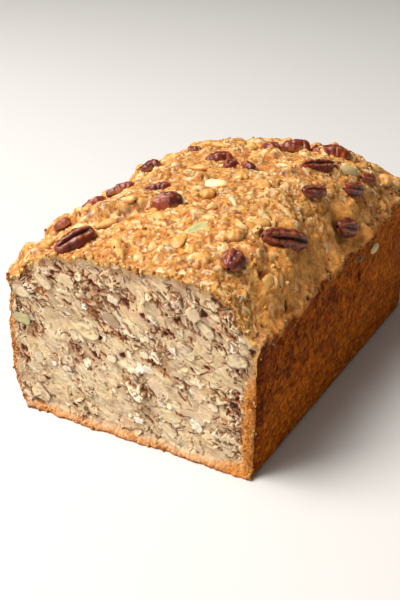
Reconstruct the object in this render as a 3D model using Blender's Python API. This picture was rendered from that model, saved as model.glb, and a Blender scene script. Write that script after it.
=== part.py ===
"""Nut and seed loaf, baked in a tin, with one end sliced off.

The loaf is one solid: a flat base, upright sides, a crowned and lumpy top, a rounded baked end
at +Y and the cut face at -Y. Seeds, flakes and beads of dough are fused to it. Each pecan is a
solid of its own, seated in a pocket that clears it by a hair. X runs across the loaf, Y along it
and Z up, and the finished loaf stands on the middle of its base. Sizes are in millimetres up to
the last step, where the meshes are written in metres.
"""

import math

import bmesh
import bpy
import numpy as np
from mathutils import Matrix, Vector

MM = 0.001
ORIGIN = np.array([0.7, 82.9, 0.0])

# Driving dimensions of the loaf. Places across it are from the tin's middle, places along it
# from the cut. The origin above is the middle of its base, counted that way.
LENGTH = 165.0
BASE_HALF = 57.0
RIM_HALF = 57.5
LEFT_HALF = 55.6
RIM_AT_CUT = 54.8
RIM_RISE = 5.7
CROWN_AT_CUT = 19.1
CROWN_SWELL = 41.1
CROWN_FALL = 50.5
CROWN_POWER = 4.8
CROWN_LEAN = 0.16
END_STARTS = 0.86
END_DROP = 0.75
CORNER_LEFT = 14.0
CORNER_RIGHT = 2.2
LEFT_TAPER = 3.2
SIDE_BULGE = 0.8
LEFT_PULL = 4.6
LEFT_PULL_REACH = 34.0
END_RADIUS = 12.0
END_BULGE = 2.0
FACE_CENTRE = (2.0, 37.0)

# The lip where the side of the tin ended, on both long sides.
LIP_OUT = 2.2
LIP_TALL = 3.4
LIP_WAVE = 1.6
LIP_PITCH = 31.0

# How upright or level the smooth skin must be to carry the relief of the sides or of the top,
# and how far up from the base the relief grows.
SIDE_TURN = (0.3, 0.9)
TOP_TURN = (0.15, 0.6)
BASE_FADE = (0.5, 6.0)

# Mesh steps round the section, along the loaf and across each end.
BASE_STEPS = 5
CORNER_STEPS = 3
SIDE_STEPS = 6
SIDE_CROWDING = 1.6
CROWN_STEPS = 33
LENGTH_STEPS = 40
END_STEPS = 4
CUT_LOOPS = 6
BACK_LOOPS = 4

# Lumps of the crust and crumb: how many, their radius and their height.
CROWN_LUMPS = (260, (4.6, 8.5), (-1.2, 2.6))
SIDE_LUMPS = (70, (6.0, 15.0), (-0.5, 0.5))
CUT_LUMPS = (70, (6.0, 12.0), (-0.5, 0.6))
LUMP_SEED = 7

# Larger forms of the crown: place across, place along, radius, height.
CROWN_FORMS = (
    (46.0, 28.0, 10.0, 2.4),
    (53.0, 84.0, 10.0, -3.2),
    (47.8, 21.6, 3.6, -2.8),
    (-22.0, 38.0, 17.0, 1.6),
    (22.0, 104.0, 12.0, 1.2),
    (-45.0, 8.0, 11.0, 2.9),
    (-43.0, 28.0, 12.0, 2.4),
    (-46.0, 9.5, 5.0, 2.4),
    (-45.0, 66.0, 20.0, -4.4),
    (-44.0, 116.0, 13.0, -2.8),
    (-34.0, 146.0, 20.0, -4.0),
    (44.0, 146.0, 9.0, -2.4),
)

# The crease: a step in the crust from one place to the other, higher on its left.
CREASE_FROM = (-28.4, 18.3)
CREASE_TO = (-8.4, 36.1)
CREASE_STEP = 2.6
CREASE_WIDTH = 2.2
CREASE_REACH = 16.0

# Pecans: across, along, heading in degrees, length, width, height, lift of the middle above
# the crust, nose up in degrees, roll in degrees.
POCKET_GAP = 0.6
PECAN_GROOVE = 0.42
PECAN_TAPER = 0.12
GROOVE_WIDTH = 0.06
UNDERSIDE = 0.7
BACK = 1.15
HALF_LENGTH = 12.8
PECANS = (
    (-24.4, 8.2, 57.0, 17.0, 8.6, 7.0, 0.6, 4.0, 24.0),
    (-3.4, 40.5, 26.0, 13.4, 10.0, 8.4, -0.4, 0.0, 0.0),
    (-36.0, 37.0, 62.0, 12.5, 7.0, 5.6, -0.3, 0.0, -12.0),
    (-29.4, 48.2, 40.0, 13.0, 5.6, 4.8, 0.0, 0.0, -10.0),
    (-16.2, 53.0, 34.0, 13.0, 5.0, 4.4, -0.2, 0.0, 0.0),
    (-39.6, 21.4, 30.0, 7.6, 5.0, 4.6, -0.7, 0.0, 0.0),
    (-30.0, 72.4, 62.0, 8.8, 6.6, 5.2, -0.9, 0.0, 0.0),
    (-8.2, 92.0, 54.0, 12.5, 6.6, 5.2, 0.4, 0.0, 0.0),
    (1.8, 83.6, 100.0, 8.4, 6.2, 5.4, 0.4, -10.0, 0.0),
    (9.0, 85.8, -34.0, 8.5, 4.6, 4.2, 0.4, 0.0, 0.0),
    (7.6, 110.6, -40.0, 11.5, 8.0, 6.2, 0.4, 0.0, 0.0),
    (14.4, 121.4, 42.0, 13.0, 9.2, 7.4, 0.4, 0.0, 0.0),
    (27.6, 129.4, 38.0, 18.0, 9.2, 7.0, 0.0, 0.0, 8.0),
    (33.4, 101.2, 60.0, 20.0, 7.4, 6.0, 0.6, 0.0, 16.0),
    (47.2, 104.2, 58.0, 13.4, 6.2, 4.8, 0.5, 0.0, 18.0),
    (41.0, 77.0, 56.0, 12.5, 5.6, 4.6, 0.5, 0.0, 18.0),
    (45.2, 44.4, 46.0, 21.5, 8.8, 6.8, 0.2, 0.0, 28.0),
    (53.2, 86.2, 44.0, 12.4, 8.4, 7.0, 1.0, 0.0, 14.0),
    (38.2, 15.8, 105.0, 10.5, 8.4, 6.8, 0.6, -12.0, 0.0),
    (-27.4, 104.4, 66.0, 6.8, 5.2, 4.4, 0.0, 0.0, 0.0),
    (47.0, 124.4, 52.0, 8.6, 5.4, 4.6, 0.2, 0.0, 8.0),
)

# Seeds and flakes fused to the crust: length, width and thickness of each kind.
SEED_KINDS = {
    "pumpkin": (13.0, 7.0, 3.4),
    "kernel": (9.0, 4.6, 3.4),
    "flake": (9.0, 6.0, 2.2),
    "bead": (4.4, 4.0, 3.8),
    "chunk": (6.4, 5.2, 4.6),
}

# Those that stand out on the crown: kind, across, along, heading in degrees.
CROWN_SEEDS = (
    ("pumpkin", 16.8, 29.0, 60.0),
    ("pumpkin", 3.0, 66.2, 8.0),
    ("pumpkin", 41.5, 116.0, 66.0),
    ("kernel", -19.3, 21.6, 45.0),
    ("flake", -1.4, 30.4, 40.0),
    ("kernel", 36.2, 42.0, 40.0),
    ("chunk", 7.7, 53.5, 16.0),
    ("bead", 25.6, 55.5, 30.0),
    ("bead", 15.2, 43.1, 17.0),
    ("bead", 7.4, 12.9, 15.0),
    ("bead", 5.6, 5.6, 15.0),
    ("bead", 29.7, 24.4, 30.0),
    ("chunk", 33.0, 28.4, 35.0),
    ("bead", 44.0, 89.0, 50.0),
    ("chunk", -38.4, 9.0, 80.0),
    ("bead", -6.5, 20.4, 15.0),
)

# The rest are spread by a seeded rule: how many, the kinds in turn, and how far apart.
MORE_SEEDS = 28
MORE_KINDS = ("flake", "chunk", "kernel", "bead", "chunk", "flake")
SEED_SPACING = 9.5
PECAN_CLEARANCE = 2.6
CROWN_SEED_LIFT = 0.12

# Flakes and nut pieces sliced through at the cut: kind, across, up, tilt in degrees.
CUT_FLAKES = (
    ("pumpkin", -15.8, 43.4, -14.0),
    ("chunk", 32.9, 15.6, -40.0),
    ("bead", 10.6, 39.5, 0.0),
    ("bead", 11.3, 47.0, 0.0),
    ("kernel", -3.6, 50.6, -35.0),
    ("kernel", -46.7, 40.4, -10.0),
)
MORE_FLAKES = 10
FLAKE_SPACING = 12.0
FLAKE_SLANT = -32.0
FLAKE_STANDS = 0.8
SEED_SIDES = 6
SEED_RINGS = 3
SHARP_FROM = 28.0


def crown_height(across, along):
    """Height of the smooth crown: a flattened arch across the loaf on a long low hump."""
    part = np.clip(along / LENGTH, 0, 1)
    rim = RIM_AT_CUT + RIM_RISE * part
    rise = CROWN_AT_CUT + CROWN_SWELL * part - CROWN_FALL * part**2
    fade = 1 - END_DROP * np.clip((part - END_STARTS) / (1 - END_STARTS), 0, 1) ** 2.2
    side = np.clip(across / RIM_HALF, -1, 1)
    arch = (1 - np.abs(side) ** CROWN_POWER) * (1 + CROWN_LEAN * side)
    return rim + rise * fade * arch


def lump_field(stream, lumps, low, high):
    """Seeded lumps between two corners: their centres, radii and heights."""
    count, radius, height = lumps
    centres = stream.uniform(low, high, (count, 2))
    return centres, stream.uniform(*radius, count), stream.uniform(*height, count)


def lump_relief(places, field):
    """Sum of a field's lumps, each falling smoothly from its height to nothing at its radius."""
    centres, radii, heights = field
    gap = np.linalg.norm(places[:, None] - centres[None], axis=2) / radii
    return (heights * np.clip(1 - gap**2, 0, 1) ** 2).sum(axis=1)


def make_fields():
    """The lumps of the crown, the right side, the left side, the baked end and the cut."""
    stream = np.random.default_rng(LUMP_SEED)
    crown = lump_field(stream, CROWN_LUMPS, (-60, 0), (60, LENGTH))
    right = lump_field(stream, SIDE_LUMPS, (0, 0), (LENGTH, 60))
    left = lump_field(stream, SIDE_LUMPS, (0, 0), (LENGTH, 60))
    back = lump_field(stream, SIDE_LUMPS, (-60, 0), (60, 60))
    cut = lump_field(stream, CUT_LUMPS, (-58, 0), (58, 74))
    return {"crown": crown, "right": right, "left": left, "back": back, "cut": cut}


FIELDS = make_fields()


def smooth_step(low, high, value):
    """0 below low, 1 above high, and a smooth rise between them."""
    part = np.clip((value - low) / (high - low), 0, 1)
    return part * part * (3 - 2 * part)


def crease_relief(across, along):
    """The step of the crease, which fades away from the line and beyond its ends."""
    start = np.array(CREASE_FROM)
    run = np.array(CREASE_TO) - start
    reach = np.linalg.norm(run)
    run /= reach
    forward = (across - start[0]) * run[0] + (along - start[1]) * run[1]
    beside = (along - start[1]) * run[0] - (across - start[0]) * run[1]
    step = smooth_step(-CREASE_WIDTH, CREASE_WIDTH, beside)
    fade = 1 - smooth_step(CREASE_REACH * 0.4, CREASE_REACH, beside)
    ends = smooth_step(-6, 3, forward) * (1 - smooth_step(reach - 3, reach + 7, forward))
    return CREASE_STEP * step * fade * ends


def crown_relief(across, along):
    """How far the crust stands out from the smooth crown: forms, crease and lumps."""
    places = np.stack([across, along], axis=1)
    forms = np.array(CROWN_FORMS)
    large = lump_relief(places, (forms[:, :2], forms[:, 2], forms[:, 3]))
    return large + crease_relief(across, along) + lump_relief(places, FIELDS["crown"])


def even_steps(line, count):
    """The points of a line taken again at even distances along it."""
    reach = np.concatenate([[0], np.cumsum(np.linalg.norm(np.diff(line, axis=0), axis=1))])
    places = np.linspace(0, reach[-1], count + 1)
    return np.stack([np.interp(places, reach, column) for column in line.T], axis=1)


def section(along, inset):
    """One closed loop across the loaf, as rows of across and up, from the base's left round."""
    part = min(along / LENGTH, 1.0)
    rim = RIM_AT_CUT + RIM_RISE * part
    lean = LEFT_PULL * math.exp(-((along / LEFT_PULL_REACH) ** 2))
    foot = LEFT_HALF - LEFT_TAPER
    base = np.linspace(CORNER_LEFT - foot, BASE_HALF - CORNER_RIGHT, BASE_STEPS, endpoint=False)
    loop = [np.stack([base, np.zeros(BASE_STEPS)], axis=1)]

    turn = np.linspace(-math.pi / 2, 0, CORNER_STEPS, endpoint=False)
    across = BASE_HALF - CORNER_RIGHT + CORNER_RIGHT * np.cos(turn)
    loop.append(np.stack([across, CORNER_RIGHT * (1 + np.sin(turn))], axis=1))

    share = 1 - np.linspace(1, 0, SIDE_STEPS, endpoint=False) ** SIDE_CROWDING
    up = CORNER_RIGHT + (rim - CORNER_RIGHT) * share
    swell = SIDE_BULGE * np.sin(math.pi * share)
    loop.append(np.stack([BASE_HALF + (RIM_HALF - BASE_HALF) * share + swell, up], axis=1))

    across = RIM_HALF * np.sin(np.linspace(math.pi / 2, -math.pi / 2, 8 * CROWN_STEPS))
    up = crown_height(across, np.full_like(across, along))
    pulled = (RIM_HALF - LEFT_HALF + lean) * smooth_step(0, RIM_HALF, -across)
    arch = np.stack([across + pulled, up], axis=1)
    loop.append(even_steps(arch, CROWN_STEPS))

    share = 1 - np.linspace(0, 1, SIDE_STEPS + 1)[1:] ** SIDE_CROWDING
    up = CORNER_LEFT + (rim - CORNER_LEFT) * share
    swell = SIDE_BULGE * np.sin(math.pi * share)
    wall = lean * share**2 + LEFT_TAPER * (1 - share) - LEFT_HALF - swell
    loop.append(np.stack([wall, up], axis=1))

    turn = np.linspace(math.pi, 1.5 * math.pi, CORNER_STEPS + 1)[1:-1]
    across = CORNER_LEFT - foot + CORNER_LEFT * np.cos(turn)
    loop.append(np.stack([across, CORNER_LEFT * (1 + np.sin(turn))], axis=1))

    rows = np.concatenate(loop)
    middle = np.array([0.0, rim / 2])
    return middle + (rows - middle) * (1 - inset / np.array([RIM_HALF, rim / 2]))


def loaf_stations():
    """Place along the loaf and inset of each loop: even steps, then the rounding of the end."""
    straight = np.linspace(0, LENGTH - END_RADIUS, LENGTH_STEPS)
    turn = np.linspace(0, math.pi / 2, END_STEPS + 1)[1:]
    rounding = LENGTH - END_RADIUS + END_RADIUS * np.sin(turn)
    insets = END_RADIUS * (1 - np.cos(turn))
    return np.concatenate([straight, rounding]), np.concatenate([np.zeros(LENGTH_STEPS), insets])


def outward(grid):
    """Unit normals of a grid of loops, pointing out of the loaf."""
    round_step = np.roll(grid, -1, axis=1) - np.roll(grid, 1, axis=1)
    along_step = np.gradient(grid, axis=0)
    normal = np.cross(along_step, round_step)
    return normal / np.linalg.norm(normal, axis=2, keepdims=True)


def lip_relief(along, up):
    """The wavy bulge along each side at the height where the tin ended."""
    turns = 2 * math.pi * along / LIP_PITCH
    wave = np.sin(turns) + 0.6 * np.sin(turns / 0.43)
    tall = (up - RIM_AT_CUT - RIM_RISE * along / LENGTH - LIP_WAVE * wave) / LIP_TALL
    return LIP_OUT * (0.75 + 0.25 * wave) * np.exp(-(tall**2))


def skin_relief(points, normals):
    """How far the skin stands out from the smooth loaf, on the crown, the sides and the end."""
    across, along, up = points.T
    top = smooth_step(*TOP_TURN, normals[:, 2])
    right = smooth_step(*SIDE_TURN, normals[:, 0]) * lump_relief(points[:, 1:], FIELDS["right"])
    left = smooth_step(*SIDE_TURN, -normals[:, 0]) * lump_relief(points[:, 1:], FIELDS["left"])
    end = smooth_step(*SIDE_TURN, normals[:, 1]) * lump_relief(points[:, ::2], FIELDS["back"])
    skin = top * crown_relief(across, along) + right + left + end
    skin += smooth_step(*SIDE_TURN, np.abs(normals[:, 0])) * lip_relief(along, up)
    return skin * smooth_step(*BASE_FADE, up)


def cap_loops(edge, count, middle):
    """Loops that shrink from an edge to a middle point, as rows of points, without the middle."""
    shares = 1 - np.arange(1, count) / count
    return [middle + (edge - middle) * share for share in shares]


def loaf_points():
    """The loaf's rings from the middle of the cut, over the skin, to the middle of the end."""
    places, insets = loaf_stations()
    loops = [section(place, inset) for place, inset in zip(places, insets)]
    grid = np.stack([np.insert(loop, 1, place, axis=1) for loop, place in zip(loops, places)])
    normals = outward(grid)
    rise = skin_relief(grid.reshape(-1, 3), normals.reshape(-1, 3)).reshape(grid.shape[:2])
    normals[0, :, 1] = 0
    grid = grid + normals * rise[:, :, None]

    front = np.array([FACE_CENTRE[0], 0.0, FACE_CENTRE[1]])
    cut = cap_loops(grid[0], CUT_LOOPS, front)[::-1]
    for ring in cut:
        ring[:, 1] = -lump_relief(ring[:, ::2], FIELDS["cut"])
    back = np.array([0.0, LENGTH + END_BULGE, grid[-1, :, 2].mean()])
    end = cap_loops(grid[-1], BACK_LOOPS, back)
    for step, ring in enumerate(end):
        ring[:, 1] = LENGTH + END_BULGE * math.sin(math.pi / 2 * (step + 1) / BACK_LOOPS)
        ring[:, 1] += lump_relief(ring[:, ::2], FIELDS["back"])
    return front, cut + list(grid) + end, back


def ring_faces(rings, around):
    """Quads between rings that follow each other, and a fan to a point before and after them."""
    here = np.arange(around)
    following = (here + 1) % around
    quads = []
    for ring in range(rings - 1):
        low = 1 + ring * around
        corners = [low + here, low + around + here, low + around + following, low + following]
        quads += np.stack(corners, axis=1).tolist()
    last = 1 + (rings - 1) * around
    fans = np.stack([np.zeros(around, int), 1 + here, 1 + following], axis=1).tolist()
    fans += np.stack([np.full(around, last + around), last + following, last + here], axis=1).tolist()
    return quads, fans


def closed_mesh(name, first, rings, last):
    """A closed mesh from a point, rings of equal length and a point, in metres."""
    around = len(rings[0])
    quads, fans = ring_faces(len(rings), around)
    points = np.concatenate([[first], *rings, [last]]) * MM
    mesh = bpy.data.meshes.new(name)
    mesh.from_pydata(points.tolist(), [], quads + fans)
    mesh.validate()
    return mesh


def lens_mesh(name, length, width, thickness, sides, rings):
    """A seed: a pointed lens with its length on X and its thickness on Z."""
    turns = np.linspace(0, math.pi, rings + 2)[1:-1]
    steps = np.linspace(0, 2 * math.pi, sides, endpoint=False) + math.pi / 2
    loops = []
    for turn in turns:
        reach = math.sin(turn) ** 0.8
        beside = -0.5 * width * reach * np.cos(steps)
        up = 0.5 * thickness * reach * np.sin(steps)
        loops.append(np.stack([np.full(sides, -0.5 * length * math.cos(turn)), beside, up], axis=1))
    return closed_mesh(name, (-0.5 * length, 0, 0), loops, (0.5 * length, 0, 0))


def pecan_mesh(name, size, groove, around, rings):
    """A pecan half with its length on X: a flatter underside, and two lobes along its back."""
    length, width, height = size
    steps = np.linspace(0, 2 * math.pi, around, endpoint=False) + math.pi / 2
    dip = 1 - groove * np.exp(-(((1 - np.sin(steps)) / GROOVE_WIDTH) ** 2))
    loops = []
    for turn in np.linspace(0, math.pi, rings + 2)[1:-1]:
        reach = 0.5 * math.sin(turn) ** 0.7 * (1 - PECAN_TAPER * math.cos(turn)) * dip
        up = height * reach * np.sin(steps)
        up *= np.where(up < 0, UNDERSIDE, BACK)
        row = [np.full(around, -0.5 * length * math.cos(turn)), -width * reach * np.cos(steps), up]
        loops.append(np.stack(row, axis=1))
    return closed_mesh(name, (-0.5 * length, 0, 0), loops, (0.5 * length, 0, 0))


def crust_frame(across, along):
    """Point on the crust, its relief included, and the smooth crown's normal there."""
    step = 1.0
    x = np.array([across, across + step, across - step, across, across])
    y = np.array([along, along, along, along + step, along - step])
    heights = crown_height(x, y)
    normal = np.array([heights[1] - heights[2], heights[3] - heights[4], -2 * step])
    normal /= -np.linalg.norm(normal)
    point = np.array([across, along, heights[0]]) - ORIGIN
    return point + normal * crown_relief(x[:1], y[:1])[0], normal


def seat(point, normal, heading, pitch=0.0, roll=0.0):
    """World place of a piece: its Z along the normal and its X by its heading on the crust."""
    run = np.array([math.cos(math.radians(heading)), math.sin(math.radians(heading)), 0.0])
    run -= normal * run.dot(normal)
    run /= np.linalg.norm(run)
    frame = Matrix(np.stack([run, np.cross(normal, run), normal], axis=1).tolist())
    turn = Matrix.Rotation(math.radians(-pitch), 3, "Y") @ Matrix.Rotation(math.radians(roll), 3, "X")
    return Matrix.Translation((point * MM).tolist()) @ (frame @ turn).to_4x4()


def material(name, colour, roughness):
    """A plain finish with its own base colour and roughness."""
    finish = bpy.data.materials.new(name)
    finish.use_nodes = True
    shader = finish.node_tree.nodes["Principled BSDF"]
    shader.inputs["Base Color"].default_value = (*colour, 1.0)
    shader.inputs["Roughness"].default_value = roughness
    shader.inputs["Metallic"].default_value = 0.0
    return finish


def add_object(mesh, place, collection=None):
    """Puts a mesh into the scene, or into a collection of helpers, at its place."""
    thing = bpy.data.objects.new(mesh.name, mesh)
    thing.matrix_world = place
    (collection or bpy.context.scene.collection).objects.link(thing)
    return thing


def helper_collection(name):
    """A collection for pieces that a Boolean uses up."""
    helpers = bpy.data.collections.new(name)
    bpy.context.scene.collection.children.link(helpers)
    return helpers


def use_up(target, helpers, operation):
    """Cuts or joins every helper of a collection at once, applies that, and removes them."""
    modifier = target.modifiers.new(operation.title(), "BOOLEAN")
    modifier.operand_type = "COLLECTION"
    modifier.collection = helpers
    modifier.operation = operation
    modifier.solver = "MANIFOLD"
    bpy.context.view_layer.update()
    graph = bpy.context.evaluated_depsgraph_get()
    finished = bpy.data.meshes.new_from_object(target.evaluated_get(graph))
    target.modifiers.clear()
    plain = target.data
    target.data = finished
    bpy.data.meshes.remove(plain)
    for helper in list(helpers.objects):
        bpy.data.objects.remove(helper)
    bpy.data.collections.remove(helpers)


def drop_scraps(mesh):
    """Keeps the largest shell: a hollow that a seed shut is filled, and a loose scrap is gone."""
    work = bmesh.new()
    work.from_mesh(mesh)
    left = set(work.verts)
    shells = []
    while left:
        shell = set()
        edge = {left.pop()}
        while edge:
            shell |= edge
            touched = {link for vert in edge for link in vert.link_edges}
            edge = {vert for link in touched for vert in link.verts} - shell
        left -= shell
        shells.append(shell)
    largest = max(shells, key=len)
    bmesh.ops.delete(work, geom=[vert for vert in work.verts if vert not in largest], context="VERTS")
    work.to_mesh(mesh)
    work.free()


def make_loaf(crust, crumb):
    """The loaf's own solid, with the crumb's finish on the cut."""
    front, rings, back = loaf_points()
    mesh = closed_mesh("loaf", front - ORIGIN, [ring - ORIGIN for ring in rings], back - ORIGIN)
    mesh.materials.append(crust)
    mesh.materials.append(crumb)
    around = len(rings[0])
    index = np.zeros(len(mesh.polygons), dtype=np.int32)
    index[: (CUT_LOOPS - 1) * around] = 1
    fans = (len(rings) - 1) * around
    index[fans : fans + around] = 1
    mesh.polygons.foreach_set("material_index", index)
    return add_object(mesh, Matrix.Identity(4))


def make_pecans(finish):
    """Every pecan as an object, and a swollen copy of each that will cut its pocket."""
    pockets = helper_collection("pockets")
    for number, values in enumerate(PECANS, start=1):
        across, along, heading, *size, lift, pitch, roll = values
        point, normal = crust_frame(across, along)
        place = seat(point + normal * lift, normal, heading, pitch, roll)
        around, rings = (14, 7) if size[0] > HALF_LENGTH else (10, 5)
        mesh = pecan_mesh(f"pecan_{number:02d}", size, PECAN_GROOVE, around, rings)
        mesh.materials.append(finish)
        mesh.shade_smooth()
        add_object(mesh, place)
        swollen = [side + 2 * POCKET_GAP for side in size]
        cutter = pecan_mesh(f"pocket_{number:02d}", swollen, 0.0, 10, 5)
        add_object(cutter, place, pockets)
    return pockets


def clear_of_pecans(across, along, reach):
    """Whether a piece of that reach lies clear of every pecan."""
    for values in PECANS:
        gap = math.hypot(across - values[0], along - values[1])
        if gap < 0.5 * values[3] + reach + PECAN_CLEARANCE:
            return False
    return True


def crown_seed_places():
    """The seeds that stand out, and more of them by the seeded rule, as kind, place, heading."""
    stream = np.random.default_rng(LUMP_SEED + 1)
    places = list(CROWN_SEEDS)
    wanted = len(places) + MORE_SEEDS
    for _ in range(6000):
        if len(places) == wanted:
            break
        across = stream.uniform(-50, 52)
        along = stream.uniform(5, LENGTH - 12)
        heading = stream.uniform(0, 180)
        kind = MORE_KINDS[len(places) % len(MORE_KINDS)]
        apart = min(math.hypot(across - other[1], along - other[2]) for other in places)
        if apart > SEED_SPACING and clear_of_pecans(across, along, 0.5 * SEED_KINDS[kind][0]):
            places.append((kind, across, along, heading))
    return places


def cut_flake_places():
    """The flakes that stand out on the cut, and more by the seeded rule, most of them slanted."""
    stream = np.random.default_rng(LUMP_SEED + 2)
    places = list(CUT_FLAKES)
    wanted = len(places) + MORE_FLAKES
    for _ in range(6000):
        if len(places) == wanted:
            break
        across = stream.uniform(-46, 50)
        up = stream.uniform(8, 62)
        slant = FLAKE_SLANT + stream.normal(0, 22)
        apart = min(math.hypot(across - other[1], up - other[2]) for other in places)
        if apart > FLAKE_SPACING:
            places.append((("flake", "kernel", "bead")[len(places) % 3], across, up, slant))
    return places


def make_seeds(loaf):
    """All seeds and flakes, as helpers that the loaf takes in: each lies on the loaf's own faces."""
    seeds = helper_collection("seeds")
    for kind, across, along, heading in crown_seed_places():
        length, width, thickness = SEED_KINDS[kind]
        mesh = lens_mesh("seed", length, width, thickness, SEED_SIDES, SEED_RINGS)
        above = np.array([across, along, 2 * RIM_AT_CUT]) - ORIGIN
        point = np.array(loaf.ray_cast(above * MM, Vector((0, 0, -1)))[1]) / MM
        normal = crust_frame(across, along)[1]
        place = seat(point + normal * CROWN_SEED_LIFT * thickness, normal, heading)
        add_object(mesh, place, seeds)
    for kind, across, up, slant in cut_flake_places():
        length, width, thickness = SEED_KINDS[kind]
        mesh = lens_mesh("flake", length, width, thickness, SEED_SIDES, SEED_RINGS)
        before = np.array([across, -LENGTH, up]) - ORIGIN
        point = loaf.ray_cast(before * MM, Vector((0, 1, 0)))[1]
        point.y += (0.5 * thickness - FLAKE_STANDS) * MM
        place = Matrix.Translation(point)
        upright = Matrix.Rotation(math.radians(90), 4, "X")
        add_object(mesh, place @ upright @ Matrix.Rotation(math.radians(slant), 4, "Z"), seeds)
    return seeds


def main():
    for thing in list(bpy.data.objects):
        bpy.data.objects.remove(thing)
    crust = material("golden_crust", (0.56, 0.27, 0.08), 0.75)
    crumb = material("seeded_crumb", (0.6, 0.42, 0.25), 0.85)
    pecan = material("toasted_pecan", (0.11, 0.03, 0.02), 0.35)
    loaf = make_loaf(crust, crumb)
    use_up(loaf, make_pecans(pecan), "DIFFERENCE")
    use_up(loaf, make_seeds(loaf), "UNION")
    drop_scraps(loaf.data)
    loaf.data.shade_smooth()
    loaf.data.set_sharp_from_angle(angle=math.radians(SHARP_FROM))


main()
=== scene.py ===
import math

import bpy
import numpy as np
from mathutils import Matrix, Vector


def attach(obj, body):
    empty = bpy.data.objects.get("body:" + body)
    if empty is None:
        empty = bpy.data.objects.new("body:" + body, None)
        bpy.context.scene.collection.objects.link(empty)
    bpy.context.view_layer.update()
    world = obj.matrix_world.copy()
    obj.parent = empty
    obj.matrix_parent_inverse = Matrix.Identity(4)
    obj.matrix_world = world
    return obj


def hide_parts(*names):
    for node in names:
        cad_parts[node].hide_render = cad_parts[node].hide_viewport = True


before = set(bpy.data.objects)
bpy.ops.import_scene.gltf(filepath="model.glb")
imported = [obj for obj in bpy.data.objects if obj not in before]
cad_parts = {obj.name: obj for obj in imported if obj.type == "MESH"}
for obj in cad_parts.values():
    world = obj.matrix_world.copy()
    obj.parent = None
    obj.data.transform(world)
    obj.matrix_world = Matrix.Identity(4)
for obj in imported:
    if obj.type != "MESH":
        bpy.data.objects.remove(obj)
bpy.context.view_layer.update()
unit = 0.001  # sizes below are in millimetres
farAway = 9e9  # added to distances where a place doesn't count


def tone(code):  # a hex colour as linear red, green and blue
    parts = np.array([int(code[at:at + 2], 16) for at in (1, 3, 5)]) / 255
    return np.where(parts < 0.04045, parts / 12.92, ((parts + 0.055) / 1.055) ** 2.4)


def ease(low, high, value):  # 0 at low, 1 at high, smooth between and flat beyond; low may be the larger
    part = np.clip((value - low) / (high - low), 0, 1)
    return part * part * (3 - 2 * part)


def blend(under, over, share):  # colours under, covered by over where share is 1; hex colours or arrays
    under, over = (tone(shade) if isinstance(shade, str) else shade for shade in (under, over))
    share = np.asarray(share)[..., None]
    return under * (1 - share) + over * share


def coated(colour, *coats):  # one coat over another, each given as its colour and share
    for shade, share in coats:
        colour = blend(colour, shade, share)
    return colour


def toneTable(codes):  # hex colours as rows of linear colours
    return np.stack([tone(code) for code in codes])


def nearest(away):  # row and column of the smallest value in a field
    return np.unravel_index(np.argmin(away), away.shape)


def softNoise(x, y, size, seed):  # random values on a square lattice, joined smoothly: 0 to 1
    table = np.random.default_rng(seed).random((256, 256))
    column, row = x / size, y / size
    left, low = np.floor(column).astype(int), np.floor(row).astype(int)
    across, up = column - left, row - low
    across, up = across * across * (3 - 2 * across), up * up * (3 - 2 * up)
    corner = [[table[(left + i) % 256, (low + j) % 256] for j in (0, 1)] for i in (0, 1)]
    bottom = corner[0][0] * (1 - across) + corner[1][0] * across
    top = corner[0][1] * (1 - across) + corner[1][1] * across
    return bottom * (1 - up) + top * up


def cloud(x, y, size, seed, layers=4):  # soft noise summed at halved sizes, each fainter: -1 to 1
    total, weight = np.zeros(np.broadcast(x, y).shape), 0.0
    for layer in range(layers):
        total += (softNoise(x, y, size / 2 ** layer, seed + layer) * 2 - 1) * 0.55 ** layer
        weight += 0.55 ** layer
    return total / weight


def cellNoise(x, y, size, seed):
    # one random point in each square of a lattice: the distance to the nearest, how much further the
    # second nearest is, and the nearest one's own random value
    table = np.random.default_rng(seed).random((3, 256, 256))
    column, row = np.floor(x / size).astype(int), np.floor(y / size).astype(int)
    near, second, value = np.full(column.shape, 9.0), np.full(column.shape, 9.0), np.zeros(column.shape)
    for i in (-1, 0, 1):
        for j in (-1, 0, 1):
            cell = (column + i) % 256, (row + j) % 256
            gap = np.hypot(column + i + table[0][cell] - x / size, row + j + table[1][cell] - y / size)
            second = np.where(gap < near, near, np.minimum(second, gap))
            value = np.where(gap < near, table[2][cell], value)
            near = np.minimum(near, gap)
    return near, second - near, value


def blurred(field, steps):  # mean over a square window, taken twice for a soft blur
    for _ in range(2):
        for axis in (0, 1):
            padded = np.pad(field, [(steps + 1, steps) if a == axis else (0, 0) for a in (0, 1)], mode="edge")
            sums = np.cumsum(padded, axis=axis)
            size = 2 * steps + 1
            high = np.take(sums, range(size, sums.shape[axis]), axis=axis)
            low = np.take(sums, range(0, sums.shape[axis] - size), axis=axis)
            field = (high - low) / size
    return field


def gridFaces(rows, columns, wrap=False):  # quads of a grid whose points are stored row by row
    here = np.arange(rows * columns).reshape(rows, columns)
    if wrap:
        here = np.concatenate([here, here[:, :1]], axis=1)
    corners = [here[:-1, :-1], here[1:, :-1], here[1:, 1:], here[:-1, 1:]]
    return np.stack(corners, axis=-1).reshape(-1, 4)


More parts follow.
